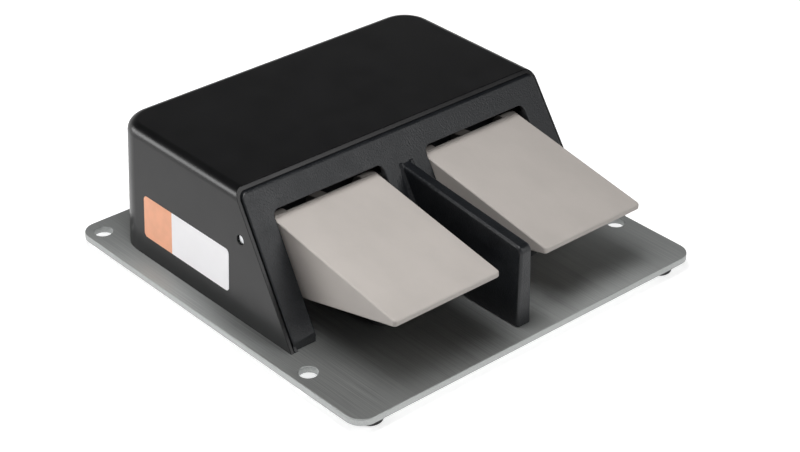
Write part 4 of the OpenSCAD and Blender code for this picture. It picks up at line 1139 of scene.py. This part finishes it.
class FOOTSWITCH_OT_springs(bpy.types.Operator):
    """Return springs under the pedals"""
    bl_idname = "footswitch.springs"
    bl_label = "Return springs"

    def execute(self, context):
        sizes = context.scene.footswitch.spring
        wire_sides, coil_steps = 12, 28
        for side in ("left", "right"):
            node = side + "_return_spring"
            low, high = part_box(node)
            middle = (low + high) / 2
            base = low.z + sizes.wire
            rise = high.z - sizes.wire - base
            bpy.ops.object.select_all(action="DESELECT")
            bpy.ops.mesh.primitive_circle_add(vertices=wire_sides, radius=sizes.wire, fill_type="NOTHING",
                                              location=(sizes.coil, 0, 0), rotation=(pi / 2, 0, 0))
            spring = added(node + "_coil")
            bpy.ops.object.modifier_add(type="SCREW")
            wind = spring.modifiers[-1]
            wind.axis, wind.angle, wind.iterations = "Z", 2 * pi, sizes.count
            wind.screw_offset = rise / sizes.count
            wind.steps = wind.render_steps = coil_steps
            bpy.ops.object.modifier_apply(modifier=wind.name)
            bpy.ops.object.mode_set(mode="EDIT")
            bpy.ops.mesh.select_mode(type="EDGE")
            bpy.ops.mesh.select_all(action="SELECT")
            bpy.ops.mesh.remove_doubles(threshold=TOUCHING)
            bpy.ops.mesh.select_all(action="DESELECT")
            bpy.ops.mesh.select_non_manifold()
            bpy.ops.mesh.fill_holes(sides=wire_sides)
            bpy.ops.mesh.select_all(action="SELECT")
            bpy.ops.mesh.normals_make_consistent(inside=False)
            bpy.ops.transform.translate(value=(middle.x, middle.y, base))
            bpy.ops.object.mode_set(mode="OBJECT")
            finished(spring, "base", "spring_steel", node, smooth=radians(60))
            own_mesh(spring)
        return {"FINISHED"}


class FOOTSWITCH_OT_sticker(bpy.types.Operator):
    """Blank sticker on the hood's left side"""
    bl_idname = "footswitch.sticker"
    bl_label = "Sticker"

    def execute(self, context):
        sizes = context.scene.footswitch.sticker
        draft = context.scene.footswitch.hood.draft
        high_y = HOOD_HIGH[1] - sizes.back
        low, high = (high_y - sizes.run, DECK + sizes.low), (high_y, DECK + sizes.low + sizes.height)
        r = sizes.corner
        outline = []
        for centre, start in (((high[0] - r, high[1] - r), 0), ((low[0] + r, high[1] - r), 90),
                              ((low[0] + r, low[1] + r), 180), ((high[0] - r, low[1] + r), 270)):
            outline += arc(centre, r, start, start + 90, 6)
        film, edge = 0.2 * MM, 0.05 * MM
        sticker = prism("sticker", "X", outline, -HOOD_HIGH[0] - film, -HOOD_HIGH[0])
        for vertex in sticker.data.vertices:
            vertex.co.x += (vertex.co.z - DECK) * tan(draft)
        round_edges(sticker, edge, 1, lambda m, d: (
            abs(d.x) < 0.5 and m.x < (m.z - DECK) * tan(draft) - HOOD_HIGH[0] - film / 2))
        finished(sticker, "base", "sticker_film", "side_sticker")
        return {"FINISHED"}


# CAD nodes that are shown as dressed copies, with their finish and the width of their broken edges
DRESSED = (("hinge_axle", "ground_steel", 0.3 * MM),
           ("gland_body", "black_nylon", 0.4 * MM),
           ("gland_cap", "black_nylon", 0.4 * MM),
           ("cover_screws", "zinc_screws", 0.12 * MM),
           ("bezel_screws", "zinc_screws", 0.12 * MM))


class FOOTSWITCH_OT_small_parts(bpy.types.Operator):
    """Screws, axle, cable gland and the parts inside the hood"""
    bl_idname = "footswitch.small_parts"
    bl_label = "Small parts"

    def execute(self, context):
        for node, slot, width in DRESSED:
            dressed(node, slot, width)
        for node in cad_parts.values():
            if not node.hide_render:
                node.material_slots[0].material = material(node.material_slots[0].material.name)
        return {"FINISHED"}


class FOOTSWITCH_PT_sidebar(bpy.types.Panel):
    """Lists the steps that build the switch, and its sizes and colours"""
    bl_idname = "FOOTSWITCH_PT_sidebar"
    bl_label = "Foot switch"
    bl_space_type = "VIEW_3D"
    bl_region_type = "UI"
    bl_category = SIDEBAR

    def draw(self, context):
        for step in STEPS:
            self.layout.operator(step.bl_idname)
        for name, group in GROUPS.items():
            box = self.layout.box()
            box.label(text=name.capitalize())
            for key in group.__annotations__:
                box.prop(getattr(context.scene.footswitch, name), key)


STEPS = [FOOTSWITCH_OT_stage, FOOTSWITCH_OT_plate, FOOTSWITCH_OT_hood, FOOTSWITCH_OT_bezel,
         FOOTSWITCH_OT_pedals, FOOTSWITCH_OT_springs, FOOTSWITCH_OT_sticker, FOOTSWITCH_OT_small_parts]
CLASSES = [*GROUPS.values(), SwitchSizes, *STEPS, FOOTSWITCH_PT_sidebar]


def register():
    for made in CLASSES:
        bpy.utils.register_class(made)
    bpy.types.Scene.footswitch = PointerProperty(type=SwitchSizes)


def unregister():
    del bpy.types.Scene.footswitch
    for made in reversed(CLASSES):
        bpy.utils.unregister_class(made)


def main():
    register()
    for step in (bpy.ops.footswitch.stage, bpy.ops.footswitch.plate, bpy.ops.footswitch.hood,
                 bpy.ops.footswitch.bezel, bpy.ops.footswitch.pedals, bpy.ops.footswitch.springs,
                 bpy.ops.footswitch.sticker, bpy.ops.footswitch.small_parts):
        step()


if __name__ == "__main__":
    main()
